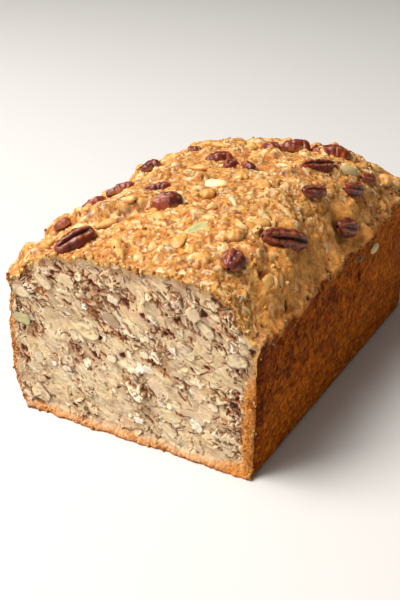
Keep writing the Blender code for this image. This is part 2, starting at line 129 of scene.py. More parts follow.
def makePiece(name, points, faces, finish, tints):
    # puts arrays of points in millimetres and of faces into a mesh object, with its colours
    points, tints = np.reshape(points, (-1, 3)), np.reshape(tints, (-1, 3))
    mesh = bpy.data.meshes.new(name)
    mesh.vertices.add(len(points))
    mesh.vertices.foreach_set("co", (points * unit).astype(np.float32).ravel())
    mesh.loops.add(faces.size)
    mesh.loops.foreach_set("vertex_index", faces.astype(np.int32).ravel())
    mesh.polygons.add(len(faces))
    mesh.polygons.foreach_set("loop_start", np.arange(0, faces.size, faces.shape[1], dtype=np.int32))
    mesh.update()
    colours = np.ones((len(points), 4), np.float32)
    colours[:, :3] = np.clip(tints, 0, 1)
    layer = mesh.color_attributes.new(name="tint", type="FLOAT_COLOR", domain="POINT")
    layer.data.foreach_set("color", colours.ravel())
    mesh.validate()
    mesh.shade_smooth()
    mesh.materials.append(finish)
    piece = bpy.data.objects.new(name, mesh)
    bpy.context.scene.collection.objects.link(piece)
    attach(piece, "root")
    return piece


def addNode(tree, kind, values=None, **settings):  # a node with its sockets and settings filled in
    node = tree.nodes.new(kind)
    for key, value in settings.items():
        setattr(node, key, value)
    for key, value in (values or {}).items():
        node.inputs[key].default_value = value
    return node


def wire(tree, *links):  # joins nodes: each link is a node and its output, then a node and its input
    for source, output, target, entry in links:
        tree.links.new(source.outputs[output], target.inputs[entry])


def grainGroup():
    # baked grain: two sizes of noise that lighten and darken a colour, with a height and a roughness
    tree = bpy.data.node_groups.new("bakedGrain", "ShaderNodeTree")
    for way, names in (("INPUT", ("Colour", "Scale", "Strength", "Roughness")),
                       ("OUTPUT", ("Colour", "Height", "Roughness"))):
        for name in names:
            kind = "NodeSocketColor" if name == "Colour" else "NodeSocketFloat"
            tree.interface.new_socket(name=name, in_out=way, socket_type=kind)
    source, target, place = (tree.nodes.new(kind) for kind in ("NodeGroupInput", "NodeGroupOutput",
                                                               "ShaderNodeTexCoord"))
    fine = addNode(tree, "ShaderNodeTexNoise", {"Detail": 5.0, "Roughness": 0.62})
    wide = addNode(tree, "ShaderNodeTexNoise", {"Detail": 3.0, "Roughness": 0.5})
    quarter = addNode(tree, "ShaderNodeMath", {1: 0.27}, operation="MULTIPLY")
    both = addNode(tree, "ShaderNodeMath", operation="ADD")
    swing = addNode(tree, "ShaderNodeMapRange", {"From Min": 0.65, "From Max": 1.35, "To Min": -1.0, "To Max": 1.0})
    share = addNode(tree, "ShaderNodeMath", operation="MULTIPLY")
    factor = addNode(tree, "ShaderNodeMath", {1: 1.0}, operation="ADD")
    scaled = addNode(tree, "ShaderNodeVectorMath", operation="SCALE")
    rough = addNode(tree, "ShaderNodeMath", {1: 0.12}, operation="MULTIPLY")
    level = addNode(tree, "ShaderNodeMath", operation="ADD")
    wire(tree, (place, "Object", fine, "Vector"), (place, "Object", wide, "Vector"), (source, "Scale", fine, "Scale"),
         (source, "Scale", quarter, 0), (quarter, 0, wide, "Scale"), (fine, "Fac", both, 0), (wide, "Fac", both, 1),
         (both, 0, swing, "Value"), (swing, 0, share, 0), (source, "Strength", share, 1), (share, 0, factor, 0),
         (source, "Colour", scaled, 0), (factor, 0, scaled, "Scale"), (scaled, 0, target, "Colour"),
         (both, 0, target, "Height"), (swing, 0, rough, 0), (source, "Roughness", level, 0), (rough, 0, level, 1),
         (level, 0, target, "Roughness"))
    return tree


def bakedFinish(name, grain, look):
    # a finish whose colour is the piece's own tint, with grain, bump and a little softness
    finish = bpy.data.materials.new(name)
    finish.use_nodes = True
    tree = finish.node_tree
    shader = tree.nodes["Principled BSDF"]
    tint = addNode(tree, "ShaderNodeAttribute", attribute_name="tint")
    effect = addNode(tree, "ShaderNodeGroup", node_tree=grain)
    bump = addNode(tree, "ShaderNodeBump", {"Strength": look["bump"], "Distance": look["bumpDepth"] * unit})
    settings = ((effect, "Scale", look["grainScale"]), (effect, "Strength", look["grainStrength"]),
                (effect, "Roughness", look["roughness"]), (shader, "Specular IOR Level", look["specular"]),
                (shader, "Subsurface Weight", look.get("soft", 0.0)), (shader, "Subsurface Radius", (1.0, 0.55, 0.25)),
                (shader, "Subsurface Scale", look.get("softDepth", 1.0) * unit),
                (shader, "Coat Weight", look.get("coat", 0.0)),
                (shader, "Coat Roughness", look.get("coatRoughness", 0.3)))
    for node, entry, value in settings:
        node.inputs[entry].default_value = value
    wire(tree, (tint, "Color", effect, "Colour"), (effect, "Colour", shader, "Base Color"),
         (effect, "Roughness", shader, "Roughness"), (effect, "Height", bump, "Height"),
         (bump, "Normal", shader, "Normal"))
    return finish


# Each finish: the grain's scale, strength and bump in millimetres, then gloss and softness.
finishes = {
    "goldenCrown": {"grainScale": 1500.0, "grainStrength": 0.26, "roughness": 0.7, "bump": 0.7, "bumpDepth": 0.5,
              "soft": 0.06, "softDepth": 1.4, "specular": 0.25},
    "tinCrust": {"grainScale": 1250.0, "grainStrength": 0.45, "roughness": 0.8, "bump": 0.9, "bumpDepth": 0.6,
            "specular": 0.08},
    "seededCrumb": {"grainScale": 1900.0, "grainStrength": 0.10, "roughness": 0.72, "bump": 0.45, "bumpDepth": 0.35,
              "soft": 0.2, "softDepth": 1.6, "specular": 0.3},
    "toastedPecan": {"grainScale": 1500.0, "grainStrength": 0.25, "roughness": 0.4, "bump": 0.3, "bumpDepth": 0.25,
              "coat": 0.22, "coatRoughness": 0.25, "specular": 0.35},
    "bakedSeed": {"grainScale": 1700.0, "grainStrength": 0.10, "roughness": 0.5, "bump": 0.25, "bumpDepth": 0.2,
             "soft": 0.1, "softDepth": 0.8, "specular": 0.45},
}
grain = grainGroup()
crownFinish, tinFinish, crumbFinish, pecanFinish, seedFinish = (
    bakedFinish(name, grain, look) for name, look in finishes.items())
print("finishes made")


# The loaf's form, from the same driving sizes as the solid loaf: across from the tin's middle, along from the cut.
loaf = {
    "origin": (0.7, 82.9, 0.0), "length": 165.0, "baseHalf": 57.0, "rimHalf": 57.5, "leftHalf": 55.6,
    "rimAtCut": 54.8, "rimRise": 5.7, "crownAtCut": 19.1, "crownSwell": 41.1, "crownFall": 50.5,
    "crownPower": 4.8, "crownLean": 0.16, "endStarts": 0.86, "endDrop": 0.75,
    "cornerLeft": 14.0, "cornerRight": 2.2, "leftTaper": 3.2, "sideBulge": 0.8,
    "leftPull": 4.6, "leftPullReach": 34.0, "endRadius": 12.0, "endBulge": 2.0,
    "lipOut": 2.2, "lipTall": 3.4, "lipWave": 1.6, "lipPitch": 31.0,
    "lumpSeed": 7, "crownLumps": (260, (4.6, 8.5), (-1.2, 2.6)),
    "sideLumps": (70, (6.0, 15.0), (-0.5, 0.5)), "cutLumps": (70, (6.0, 12.0), (-0.5, 0.6)),
    "sideTurn": (0.3, 0.9), "topTurn": (0.15, 0.6), "baseFade": (0.5, 6.0),
    "creaseFrom": (-28.4, 18.3), "creaseTo": (-8.4, 36.1), "creaseStep": 2.6,
    "creaseWidth": 2.2, "creaseReach": 16.0, "lineSteps": 200, "arcSteps": 900,
    "lumpSpan": 60, "cutSpan": (58, 74), "fadePower": 2.2,
}
# Larger forms of the crown: place across, place along, radius, height.
crownForms = ((46.0, 28.0, 10.0, 2.4), (53.0, 84.0, 10.0, -3.2), (47.8, 21.6, 3.6, -2.8),
              (-22.0, 38.0, 17.0, 1.6), (22.0, 104.0, 12.0, 1.2), (-45.0, 8.0, 11.0, 2.9),
              (-43.0, 28.0, 12.0, 2.4), (-46.0, 9.5, 5.0, 2.4), (-45.0, 66.0, 20.0, -4.4),
              (-44.0, 116.0, 13.0, -2.8), (-34.0, 146.0, 20.0, -4.0), (44.0, 146.0, 9.0, -2.4))
# Steps of the fine skin: round the base, corners, walls and crown, along the loaf, over its end and down its back.
steps = {"base": 44, "rightCorner": 10, "rightWall": 66, "crown": 400, "leftWall": 60, "leftCorner": 20,
         "along": 430, "end": 26, "back": 84}
origin = np.array(loaf["origin"])


def crownHeight(across, along):
    # a flattened arch across the loaf on a long low hump, dropping at the baked end
    part = np.clip(along / loaf["length"], 0, 1)
    rim = loaf["rimAtCut"] + loaf["rimRise"] * part
    rise = loaf["crownAtCut"] + loaf["crownSwell"] * part - loaf["crownFall"] * part ** 2
    toEnd = np.clip((part - loaf["endStarts"]) / (1 - loaf["endStarts"]), 0, 1)
    fade = 1 - loaf["endDrop"] * toEnd ** loaf["fadePower"]
    side = np.clip(across / loaf["rimHalf"], -1, 1)
    return rim + rise * fade * (1 - np.abs(side) ** loaf["crownPower"]) * (1 + loaf["crownLean"] * side)


def resampled(line, count):  # the points of a line taken again at even distances along it
    reach = np.concatenate([[0], np.cumsum(np.linalg.norm(np.diff(line, axis=0), axis=1))])
    places = np.linspace(0, reach[-1], count + 1)
    return np.stack([np.interp(places, reach, column) for column in line.T], axis=1)


def sectionRing(along, inset):
    # one loop across the loaf: base, right corner, right wall, crown, left wall, left corner
    part = min(along / loaf["length"], 1.0)
    rim = loaf["rimAtCut"] + loaf["rimRise"] * part
    lean = loaf["leftPull"] * math.exp(-((along / loaf["leftPullReach"]) ** 2))
    left, right = loaf["cornerLeft"], loaf["cornerRight"]
    foot = loaf["leftHalf"] - loaf["leftTaper"]
    share = np.linspace(0, 1, loaf["lineSteps"])

    def corner(middle, radius, start):  # a quarter turn on the ground
        turn = start + math.pi / 2 * share
        return np.stack([middle + radius * np.cos(turn), radius * (1 + np.sin(turn))], axis=1)

    base = np.stack([left - foot + (loaf["baseHalf"] - right - left + foot) * share, 0 * share], axis=1)
    rightCorner = corner(loaf["baseHalf"] - right, right, -math.pi / 2)
    swell = loaf["sideBulge"] * np.sin(math.pi * share)
    rightWall = np.stack([loaf["baseHalf"] + (loaf["rimHalf"] - loaf["baseHalf"]) * share + swell,
                          right + (rim - right) * share], axis=1)
    across = loaf["rimHalf"] * np.sin(np.linspace(math.pi / 2, -math.pi / 2, loaf["arcSteps"]))
    pulled = (loaf["rimHalf"] - loaf["leftHalf"] + lean) * ease(0, loaf["rimHalf"], -across)
    crown = np.stack([across + pulled, crownHeight(across, np.full_like(across, along))], axis=1)
    back = share[::-1]
    lean = lean * back ** 2 + loaf["leftTaper"] * (1 - back)
    leftWall = np.stack([lean - loaf["leftHalf"] - loaf["sideBulge"] * np.sin(math.pi * back),
                         left + (rim - left) * back], axis=1)
    leftCorner = corner(left - foot, left, math.pi)
    stretches = {"base": base, "rightCorner": rightCorner, "rightWall": rightWall, "crown": crown,
                 "leftWall": leftWall, "leftCorner": leftCorner}
    ring = np.concatenate([resampled(line, steps[name])[:-1] for name, line in stretches.items()])
    middle = np.array([0.0, rim / 2])
    return middle + (ring - middle) * (1 - inset / np.array([loaf["rimHalf"], rim / 2]))


def skinGrid():
    # rings at even steps from the cut, then round the baked end: points of rows by places round
    straight = np.linspace(0, loaf["length"] - loaf["endRadius"], steps["along"])
    turn = np.linspace(0, math.pi / 2, steps["end"] + 1)[1:]
    stations = np.concatenate([straight, loaf["length"] - loaf["endRadius"] * (1 - np.sin(turn))])
    insets = np.concatenate([np.zeros(len(straight)), loaf["endRadius"] * (1 - np.cos(turn))])
    return np.stack([np.insert(sectionRing(along, inset), 1, along, axis=1)
                     for along, inset in zip(stations, insets)])


def outward(grid):  # unit normals of a grid of rings, pointing out of the loaf
    roundStep = np.roll(grid, -1, axis=1) - np.roll(grid, 1, axis=1)
    normal = np.cross(np.gradient(grid, axis=0), roundStep)
    return normal / np.linalg.norm(normal, axis=2, keepdims=True)


def lumpField(stream, lumps, low, high):  # seeded lumps: centres, radii and heights
    count, radius, height = lumps
    return stream.uniform(low, high, (count, 2)), stream.uniform(*radius, count), stream.uniform(*height, count)


def lumpRelief(across, up, field):  # each lump falls smoothly from its height to nothing at its radius
    total = np.zeros_like(across)
    for centre, radius, height in zip(*field):
        gap = ((across - centre[0]) ** 2 + (up - centre[1]) ** 2) / radius ** 2
        total += height * np.clip(1 - gap, 0, 1) ** 2
    return total


def makeFields():  # drawn in the same order as for the solid loaf, so that the lumps are the same
    stream = np.random.default_rng(loaf["lumpSeed"])
    span, long, (cutHalf, cutTall) = loaf["lumpSpan"], loaf["length"], loaf["cutSpan"]
    corners = {"crown": ("crownLumps", (-span, 0), (span, long)), "right": ("sideLumps", (0, 0), (long, span)),
               "left": ("sideLumps", (0, 0), (long, span)), "back": ("sideLumps", (-span, 0), (span, span)),
               "cut": ("cutLumps", (-cutHalf, 0), (cutHalf, cutTall))}
    return {name: lumpField(stream, loaf[key], low, high) for name, (key, low, high) in corners.items()}


def largeRelief(across, along):  # the crown's larger forms, its crease and its lumps together
    forms = np.array(crownForms)
    large = lumpRelief(across, along, (forms[:, :2], forms[:, 2], forms[:, 3]))
    return large + creaseRelief(across, along) + lumpRelief(across, along, fields["crown"])


def creaseRelief(across, along):  # a step in the crust along a line, fading away from it
    start = np.array(loaf["creaseFrom"])
    run = np.array(loaf["creaseTo"]) - start
    reach = np.linalg.norm(run)
    run = run / reach
    forward = (across - start[0]) * run[0] + (along - start[1]) * run[1]
    beside = (along - start[1]) * run[0] - (across - start[0]) * run[1]
    step = ease(-loaf["creaseWidth"], loaf["creaseWidth"], beside)
    fade = 1 - ease(loaf["creaseReach"] * 0.4, loaf["creaseReach"], beside)
    ends = ease(-6, 3, forward) * (1 - ease(reach - 3, reach + 7, forward))
    return loaf["creaseStep"] * step * fade * ends


def lipRelief(along, up):  # the wavy bulge along each side where the tin ended
    turns = 2 * math.pi * along / loaf["lipPitch"]
    wave = np.sin(turns) + 0.6 * np.sin(turns / 0.43)
    tall = (up - loaf["rimAtCut"] - loaf["rimRise"] * along / loaf["length"] - loaf["lipWave"] * wave)
    return loaf["lipOut"] * (0.75 + 0.25 * wave) * np.exp(-((tall / loaf["lipTall"]) ** 2))


def formRelief(grid, normals):  # how far the solid's own lumps and lip stand out of the smooth loaf
    across, along, up = (grid[:, :, axis] for axis in range(3))
    skin = ease(*loaf["topTurn"], normals[:, :, 2]) * largeRelief(across, along)
    for name, toSide, run in (("right", normals[:, :, 0], along), ("left", -normals[:, :, 0], along),
                              ("back", normals[:, :, 1], across)):
        skin = skin + ease(*loaf["sideTurn"], toSide) * lumpRelief(run, up, fields[name])
    skin += ease(*loaf["sideTurn"], np.abs(normals[:, :, 0])) * lipRelief(along, up)
    return skin * ease(*loaf["baseFade"], up)


fields = makeFields()
smooth = skinGrid()
facing = outward(smooth)
facing[0, :, 1] = 0
relief = formRelief(smooth, facing)
print("loaf form worked out:", smooth.shape)


# The crust: crumbs, lumps, flakes and marks of the crown, then the wall that the tin shaped.
crust = {
    "seed": 31,
    # sizes of the dough's own swells and of its crumbs, and how tall they are
    "swells": ((9.0, 0.9), (4.0, 0.5), (1.6, 0.25)), "crumbs": ((4.4, 0.75), (2.3, 0.6), (1.25, 0.34)),
    "lumps": 1500, "lumpRadius": (0.5, 1.9), "lumpHeight": (0.0, 0.4), "lumpLong": (1.0, 2.2),
    "lumpShare": (0.25, 0.9), "lumpBright": (0.92, 1.06), "lumpSunk": 0.2, "crumbRough": 0.18,
    "flakes": 620, "flakeLength": (1.8, 5.6), "flakeWidth": (0.32, 0.6), "flakeThick": (0.15, 0.5),
    "flakeTilt": 0.22, "flakeShare": (0.3, 0.85), "spotShare": (0.3, 0.85),
    "pores": 900, "poreRadius": (0.3, 0.75), "poreDepth": 0.5, "spots": 300, "spotRadius": (0.5, 1.4),
    "golden": "#CF8A3C", "honey": "#DCA052", "blush": "#BA7E4C",
    "tones": {"golden": ("#D4903E", 0.31), "honey": ("#DFA854", 0.25), "cream": ("#F0D69C", 0.20),
              "amber": ("#C07232", 0.18), "pale": ("#F8E8C4", 0.07), "russet": ("#A05826", 0.07)},
    # painted shade: the dark colour laid in the crumbs' cracks and in the hollows; the brow is darkened with it too
    "creviceShade": "#8A3F10", "poreShade": "#5E2A10", "flakeTones": ("#ECC886", "#DEAC60", "#F6E2AE", "#CF9246"),
    "spotTones": ("#8E6A6E", "#A8522A", "#6A3A22", "#BA6A2C", "#84604E"),
    # the lip's colour here is a painted highlight along the lip
    "smoothSkin": "#F0A044", "lipHighlight": "#C87E30", "tanned": 0.885,
    # the smoother right shoulder: its distance from the crown's middle, its share, and where it starts and ends
    "shoulder": 44, "calm": 0.75, "calmFrom": (2, 12), "calmUntil": (135, 95),
    # how much the swells, crevices and rim show: uneven rim line, lip, painted shade in the hollows, painted highlight
    # on the crests, the darker brow, and painted shade in the cracks
    "rimWaves": ((3.0, 9.0, 131, 4), (1.5, 2.6, 133, 2)), "lip": 0.9, "hollow": (0.5, 0.8), "crestHighlight": (0.7, 1.12),
    "brow": (5.0, 0.5, 0.3), "cellShare": 0.65, "crackShadeShare": 0.3, "blushShare": 0.5,
    # across, along, half length, half width, heading, depth, colour, share; the first (a dimple), the fifth (under a
    # pecan) and the sixth and seventh (along the crease) are painted shade
    "marks": ((47.8, 21.6, 2.6, 2.2, 0, 0.7, "#A85A28", 0.8), (26.6, 43.6, 1.8, 0.9, 20, 0.8, "#5A2A18", 0.85),
              (-6.5, 20.4, 1.6, 1.0, 20, -0.3, "#8A5A70", 0.7), (38.3, 27.7, 1.6, 1.2, 40, -0.3, "#C86A2A", 0.8),
              (54.4, 82.1, 4.2, 3.0, 80, 1.0, "#6E5028", 0.6), (-22.0, 16.5, 7.5, 1.3, 40, 0.9, "#A85416", 0.75),
              (-12.5, 27.0, 6.5, 1.2, 38, 0.8, "#A85416", 0.7), (44.7, 53.2, 2.2, 1.6, 40, -0.6, "#B0AC78", 0.7),
              (-6.0, 68.0, 2.2, 1.0, 30, 0.5, "#7A4A3C", 0.7), (20.0, 66.0, 2.4, 0.9, -20, 0.5, "#7E4E3A", 0.7)),
}
wall = {
    "seed": 32, "deep": "#9C4404", "lit": "#C8660A", "dark": "#401404", "base": "#A0540E", "bright": "#E08A26",
    # the next colour is painted light: the wall's colours are set to look right in the shade of the right wall, so the
    # left wall and the left of the baked end are blended towards this duller tone
    "unshadedTone": "#9C5F2C", "grains": ((1.9, 0.42), (1.0, 0.28)), "drawn": 1.6, "pits": 1400,
    "pitRadius": (0.35, 1.5), "pitDepth": (0.1, 0.6), "holeTurn": 0.6, "holeDepth": 1.3,
    # darker from the first height to the second, until the far end, and near the cut; rough close to the cut
    "darkFrom": (14, 46), "darkUntil": (125, 45), "corner": (7.0, 1.0), "front": (10, 0), "frontTall": 1.3,
    "unshadedFrom": (5, -30), "unshadedShare": 0.4, "unshadedEnd": 0.3, "swell": 0.22,
    # the holes are sunk and painted dark with the shade inside them
    "holes": ((47.3, 56.5, 1.7), (89.2, 35.9, 1.5), (93.2, 44.5, 2.0), (25.4, 60.1, 1.5), (60.0, 58.0, 1.2),
              (38.0, 57.5, 1.0), (18.0, 50.0, 0.9)),  # along, up, radius
}
# Where walls and crown meet the cut: the foot that stands forward, the turned-in walls and the hidden lips.
frontEdge = {"foot": 2.0, "footTall": 5.0, "round": 1.5, "roundLong": 3.4, "middle": (2.0, 0.0, 37.0),
             "lipDeep": 0.9, "lipBack": 0.5, "rimDeep": 0.5, "rimBack": 1.4}


def pickTones(stream, choices, count):  # draws colours by their shares
    codes, shares = zip(*choices.values())
    return toneTable(codes)[stream.choice(len(codes), count, p=np.array(shares) / np.sum(shares))]


def window(canvas, row, column, reach):
    # the part of a canvas within reach of a place, and the distances from that place both ways
    deep = int(math.ceil(reach / canvas["step"]))
    rows = slice(max(0, row - deep), row + deep + 1)
    columns = slice(max(0, column - deep), column + deep + 1)
    beside = canvas["beside"][rows, columns] - canvas["beside"][row, column]
    along = canvas["along"][rows, columns] - canvas["along"][row, column]
    return (rows, columns), beside, along


def ovalGap(beside, along, heading, length, width):  # 0 at an oval's middle, 1 at its edge
    forward = beside * math.cos(heading) + along * math.sin(heading)
    side = along * math.cos(heading) - beside * math.sin(heading)
    return (forward / length) ** 2 + (side / width) ** 2, forward / length, side / width


def ovalAt(place, row, column, reach, heading, length, width):
    # the part of a canvas round a place, with the fields of an oval lying there
    part, beside, along = window(place, row, column, reach)
    return part, *ovalGap(beside, along, heading, length, width)


def pressed(height, colour, part, soft, depth, shade, share=1.0):  # sinks a spot and colours it
    height[part] -= depth * soft
    colour[part] = blend(colour[part], shade, share * soft)


def makeCanvas(grid):  # distances round and along the skin at each point of a grid, about a step apart
    roundStep = np.linalg.norm(np.diff(grid, axis=1), axis=2)
    beside = np.concatenate([np.zeros((len(grid), 1)), np.cumsum(roundStep, axis=1)], axis=1)
    middle = crownColumns.start + steps["crown"] // 2
    beside = beside - beside[:, middle:middle + 1]
    beside[steps["along"]:] = beside[steps["along"] - 1]  # so that the pattern isn't sheared round the end
    alongStep = np.linalg.norm(np.diff(grid[:, middle], axis=0), axis=1)
    along = np.concatenate([[0], np.cumsum(alongStep)])[:, None] + np.zeros_like(beside)
    return {"beside": beside, "along": along, "step": 0.34, "shape": beside.shape}


crownColumns = slice(steps["base"] + steps["rightCorner"] + steps["rightWall"],
                     steps["base"] + steps["rightCorner"] + steps["rightWall"] + steps["crown"])
canvas = makeCanvas(smooth)


def crumbs(x, y, sizes, seed):
    # uneven cells of a few sizes, each a dome as tall as its own random value; then each cell's tone, and cracks
    shiftX, shiftY = cloud(x, y, 2.6, seed, 4), cloud(x + 90, y, 2.6, seed + 5, 4)
    height, pick, crack = np.zeros(shiftX.shape), None, np.zeros(shiftX.shape)
    for number, (size, tall) in enumerate(sizes):
        warp = 0.55 * size
        near, border, value = cellNoise(x + warp * shiftX, y + warp * shiftY, size, seed + 20 + number)
        height += tall * (0.1 + 0.9 * value) * np.clip(1 - 1.35 * near ** 2, 0, 1)
        crack = np.maximum(crack, ease(0.16, 0.0, border) * min(1.0, size / 2.5))
        pick = value if pick is None else np.mod(pick * 0.6 + value * 7.3, 1)
    return height, pick, crack


def crownDetail():
    # dough swells covered in crumbs with painted shade in the cracks between them, with lumps and flakes half sunk in
    # them, then pores painted dark with their shade and small dark bits
    stream = np.random.default_rng(crust["seed"])
    beside, along = canvas["beside"], canvas["along"]
    height = np.zeros(canvas["shape"])
    for number, (size, tall) in enumerate(crust["swells"]):
        height += tall * cloud(beside, along, size, 301 + 10 * number, 2)
    rise, pick, crack = crumbs(beside, along, crust["crumbs"], 341)
    height += rise * (0.55 + 0.45 * ease(-0.4, 0.5, cloud(beside, along, 14.0, 366, 2)))
    shares = np.cumsum([share for _, share in crust["tones"].values()])
    table = toneTable(code for code, _ in crust["tones"].values())
    cells = table[np.minimum(np.searchsorted(shares / shares[-1], pick), len(table) - 1)]
    honey = ease(-0.4, 0.5, cloud(beside, along, 8.0, 361, 3))
    blush = ease(0.1, 0.6, cloud(beside, along, 10.0, 371, 4))
    # painted shade in the cracks between the crumbs
    colour = coated(blend(crust["golden"], crust["honey"], honey), (crust["blush"], crust["blushShare"] * blush),
                    (cells, crust["cellShare"]), (crust["creviceShade"], crust["crackShadeShare"] * crack))
    ragged = cloud(beside, along, 1.6, 381, 3)
    base = height.copy()
    rows, low, high = canvas["shape"][0], crownColumns.start - 14, crownColumns.stop + 14

    for shade in pickTones(stream, crust["tones"], crust["lumps"]):
        row, column = stream.integers(0, rows), stream.integers(low, high)
        radius = crust["lumpRadius"][0] + np.ptp(crust["lumpRadius"]) * stream.random() ** 1.6
        long = radius * stream.uniform(*crust["lumpLong"])
        part, gap, _, _ = ovalAt(canvas, row, column, long * 1.2, stream.uniform(0, math.pi), long, radius)
        gap = gap * (1 + 1.2 * ragged[part])
        dome = np.clip(1 - gap, 0, 1) ** 0.5
        sunk = crust["lumpSunk"]
        rise = base[row, column] - sunk + (sunk + stream.uniform(*crust["lumpHeight"])) * dome * radius ** 0.5
        rise = rise + crust["crumbRough"] * ragged[part]
        over = (gap < 1) & (rise > height[part])
        height[part] = np.where(over, rise, height[part])
        share = np.where(over, stream.uniform(*crust["lumpShare"]) * ease(0.0, 0.45, dome), 0)
        colour[part] = blend(colour[part], shade * stream.uniform(*crust["lumpBright"]), share)

    for _ in range(crust["flakes"]):
        row, column = stream.integers(2, rows - 2), stream.integers(low + 10, high - 10)
        long = stream.uniform(*crust["flakeLength"]) / 2
        wide = long * stream.uniform(*crust["flakeWidth"])
        part, gap, forward, side = ovalAt(canvas, row, column, long * 1.2, stream.uniform(0, math.pi), long, wide)
        uneven = gap * (1 + 0.9 * ragged[part])
        tilt = stream.normal(0, crust["flakeTilt"], 2)
        rise = height[row, column] + stream.uniform(*crust["flakeThick"]) + tilt[0] * forward + tilt[1] * side
        rise += 0.12 * ragged[part] - 0.25 * uneven
        over = (uneven < 1) & (rise > height[part] - 0.1)
        height[part] = np.where(over, rise, height[part])
        shade = tone(crust["flakeTones"][stream.integers(0, 4)])
        colour[part] = blend(colour[part], shade, np.where(over, stream.uniform(*crust["flakeShare"]), 0))

    # pores are sunk and painted dark with their shade; spots are dark bits of their own colour
    for number in range(crust["pores"] + crust["spots"]):
        row, column = stream.integers(0, rows), stream.integers(low, high)
        isPore = number < crust["pores"]
        radius = stream.uniform(*crust["poreRadius" if isPore else "spotRadius"])
        part, gap, _, _ = ovalAt(canvas, row, column, radius * 2, stream.uniform(0, math.pi),
                                 radius * 1.4, radius * 0.8)
        soft = ease(1.2, 0.4, gap * (1 + ragged[part])) * stream.uniform(*crust["spotShare"])
        shade = crust["poreShade"] if isPore else crust["spotTones"][stream.integers(0, len(crust["spotTones"]))]
        pressed(height, colour, part, soft, crust["poreDepth"] if isPore else 0.0, shade)
    return height, colour


def calmSkin(height, colour):
    # the crown's right shoulder, where the dough skin is smoother, with fine swells and specks
    beside, along = canvas["beside"], canvas["along"]
    edge = crust["shoulder"] + 9 * cloud(along, beside, 26.0, 311)
    calm = crust["calm"] * ease(-9, 9, -beside - edge)
    calm = calm * ease(*crust["calmFrom"], along) * ease(*crust["calmUntil"], along)
    soft = blurred(height, 2)
    height = height * (1 - calm) + (soft + 0.22 * cloud(beside, along, 1.6, 321, 3)) * calm
    plain = tone(crust["smoothSkin"]) * (1 + 0.22 * cloud(beside, along, 4.0, 331, 5))[..., None]
    return height, blend(colour, plain, 0.8 * calm)


def wallGrain(x, y, upper, corner):
    # close grains of their own heights and tones, with painted shade in the cracks between them; darker by stains, and
    # where upper or corner is 1
    rise, pick, crack = crumbs(x, y, wall["grains"], 111)
    mottle = ease(-0.3, 0.3, cloud(x, y, 3.6, 121, 4))
    stain = ease(0.05, 0.35, cloud(x, y, 2.2, 123, 3)) * (0.25 + 0.75 * upper)
    # the cracks between the grains are darkened as painted shade
    dark = ease(0.36, 0.1, pick) * (0.5 + 0.35 * upper) + (0.35 + 0.2 * upper) * crack + 0.35 * corner
    colour = blend(wall["lit"], wall["deep"], np.clip(0.6 * mottle + 0.4 * upper + 0.5 * corner, 0, 1))
    colour = coated(colour, (wall["dark"], 0.5 * stain),
                    (wall["bright"], 0.6 * ease(0.7, 0.95, pick) * (1 - 0.5 * upper)),
                    (wall["dark"], np.clip(dark, 0, 0.85)))
    return wall["swell"] * cloud(x, y, 9.0, 101) + rise, colour


def wallDetail():
    # the wall that the tin shaped: close grains, darker towards the top and near the cut, and small pits painted
    # darker the deeper they are, as their shade
    stream = np.random.default_rng(wall["seed"])
    beside, along, up = canvas["beside"], canvas["along"] / wall["drawn"], smooth[:, :, 2]
    across, back = smooth[:, :, 0], smooth[:, :, 1]
    front = ease(*wall["front"], back) * (across < 50)
    upper = ease(*wall["darkFrom"], up + 9 * cloud(along, beside, 22.0, 125))
    upper = upper * ease(*wall["darkUntil"], back)
    corner = ease(*wall["corner"], back + 1.5 * cloud(along, beside, 5.0, 127))
    height, colour = wallGrain(beside, along, upper, corner)
    # painted light: a duller tone on the left wall, which the key lamp lights, as the wall's colours are set for the
    # shaded right wall
    colour = blend(colour, wall["unshadedTone"], wall["unshadedShare"] * ease(*wall["unshadedFrom"], across))
    height += wall["frontTall"] * front * np.maximum(cloud(beside, along, 3.6, 115, 3) + 0.1, 0)
    rows, wide = canvas["shape"]
    for _ in range(wall["pits"]):
        row, column = stream.integers(0, rows), stream.integers(0, wide)
        if crownColumns.start + 8 < column < crownColumns.stop - 8:
            continue
        radius = wall["pitRadius"][0] + np.ptp(wall["pitRadius"]) * stream.random() ** 4
        part, gap, _, _ = ovalAt(canvas, row, column, radius * 2.2, stream.normal(math.pi / 2, 0.3),
                                 radius * stream.uniform(1, 2), radius)
        depth = stream.uniform(*wall["pitDepth"]) * np.clip(1 - gap, 0, 1)
        height[part] -= depth
        # painted shade: darker the deeper it goes
        colour[part] = blend(colour[part], wall["dark"], np.clip(1.5 * depth, 0, 0.8))
    return height, colour


def markedSkin(height, colour):
    # single marks at their own places: dents and bits on the crown, some of them painted shade, and small holes beside
    # its rim painted dark with their shade
    ragged = cloud(canvas["beside"], canvas["along"], 1.8, 391, 2)
    # some marks are painted shade: in the dimple, under a pecan and along the crease
    for across, along, long, wide, heading, depth, shade, share in crust["marks"]:
        row, column = nearest((smooth[:, :, 0] - across) ** 2 + (smooth[:, :, 1] - along) ** 2
                              + 9 * (smooth[:, :, 2] < 50))
        part, near, far = window(canvas, row, column, long * 2)
        gap, _, _ = ovalGap(-near, far, math.radians(heading), long, wide)
        pressed(height, colour, part, ease(1.5, 0.3, gap * (1 + 0.8 * ragged[part])), depth, shade, share)
    # holes beside the rim, painted dark with the shade inside them
    for along, up, radius in wall["holes"]:
        row, column = nearest((smooth[:, :, 1] - along) ** 2 + (smooth[:, :, 2] - up) ** 2
                              + farAway * (smooth[:, :, 0] < 30))
        part, gap, _, _ = ovalAt(canvas, row, column, radius * 2, wall["holeTurn"], radius * 1.2, radius * 0.8)
        soft = ease(1.4, 0.4, gap * (1 + ragged[part]))
        pressed(height, colour, part, soft, wall["holeDepth"], tone(wall["dark"]) * 0.5)
    return height, colour


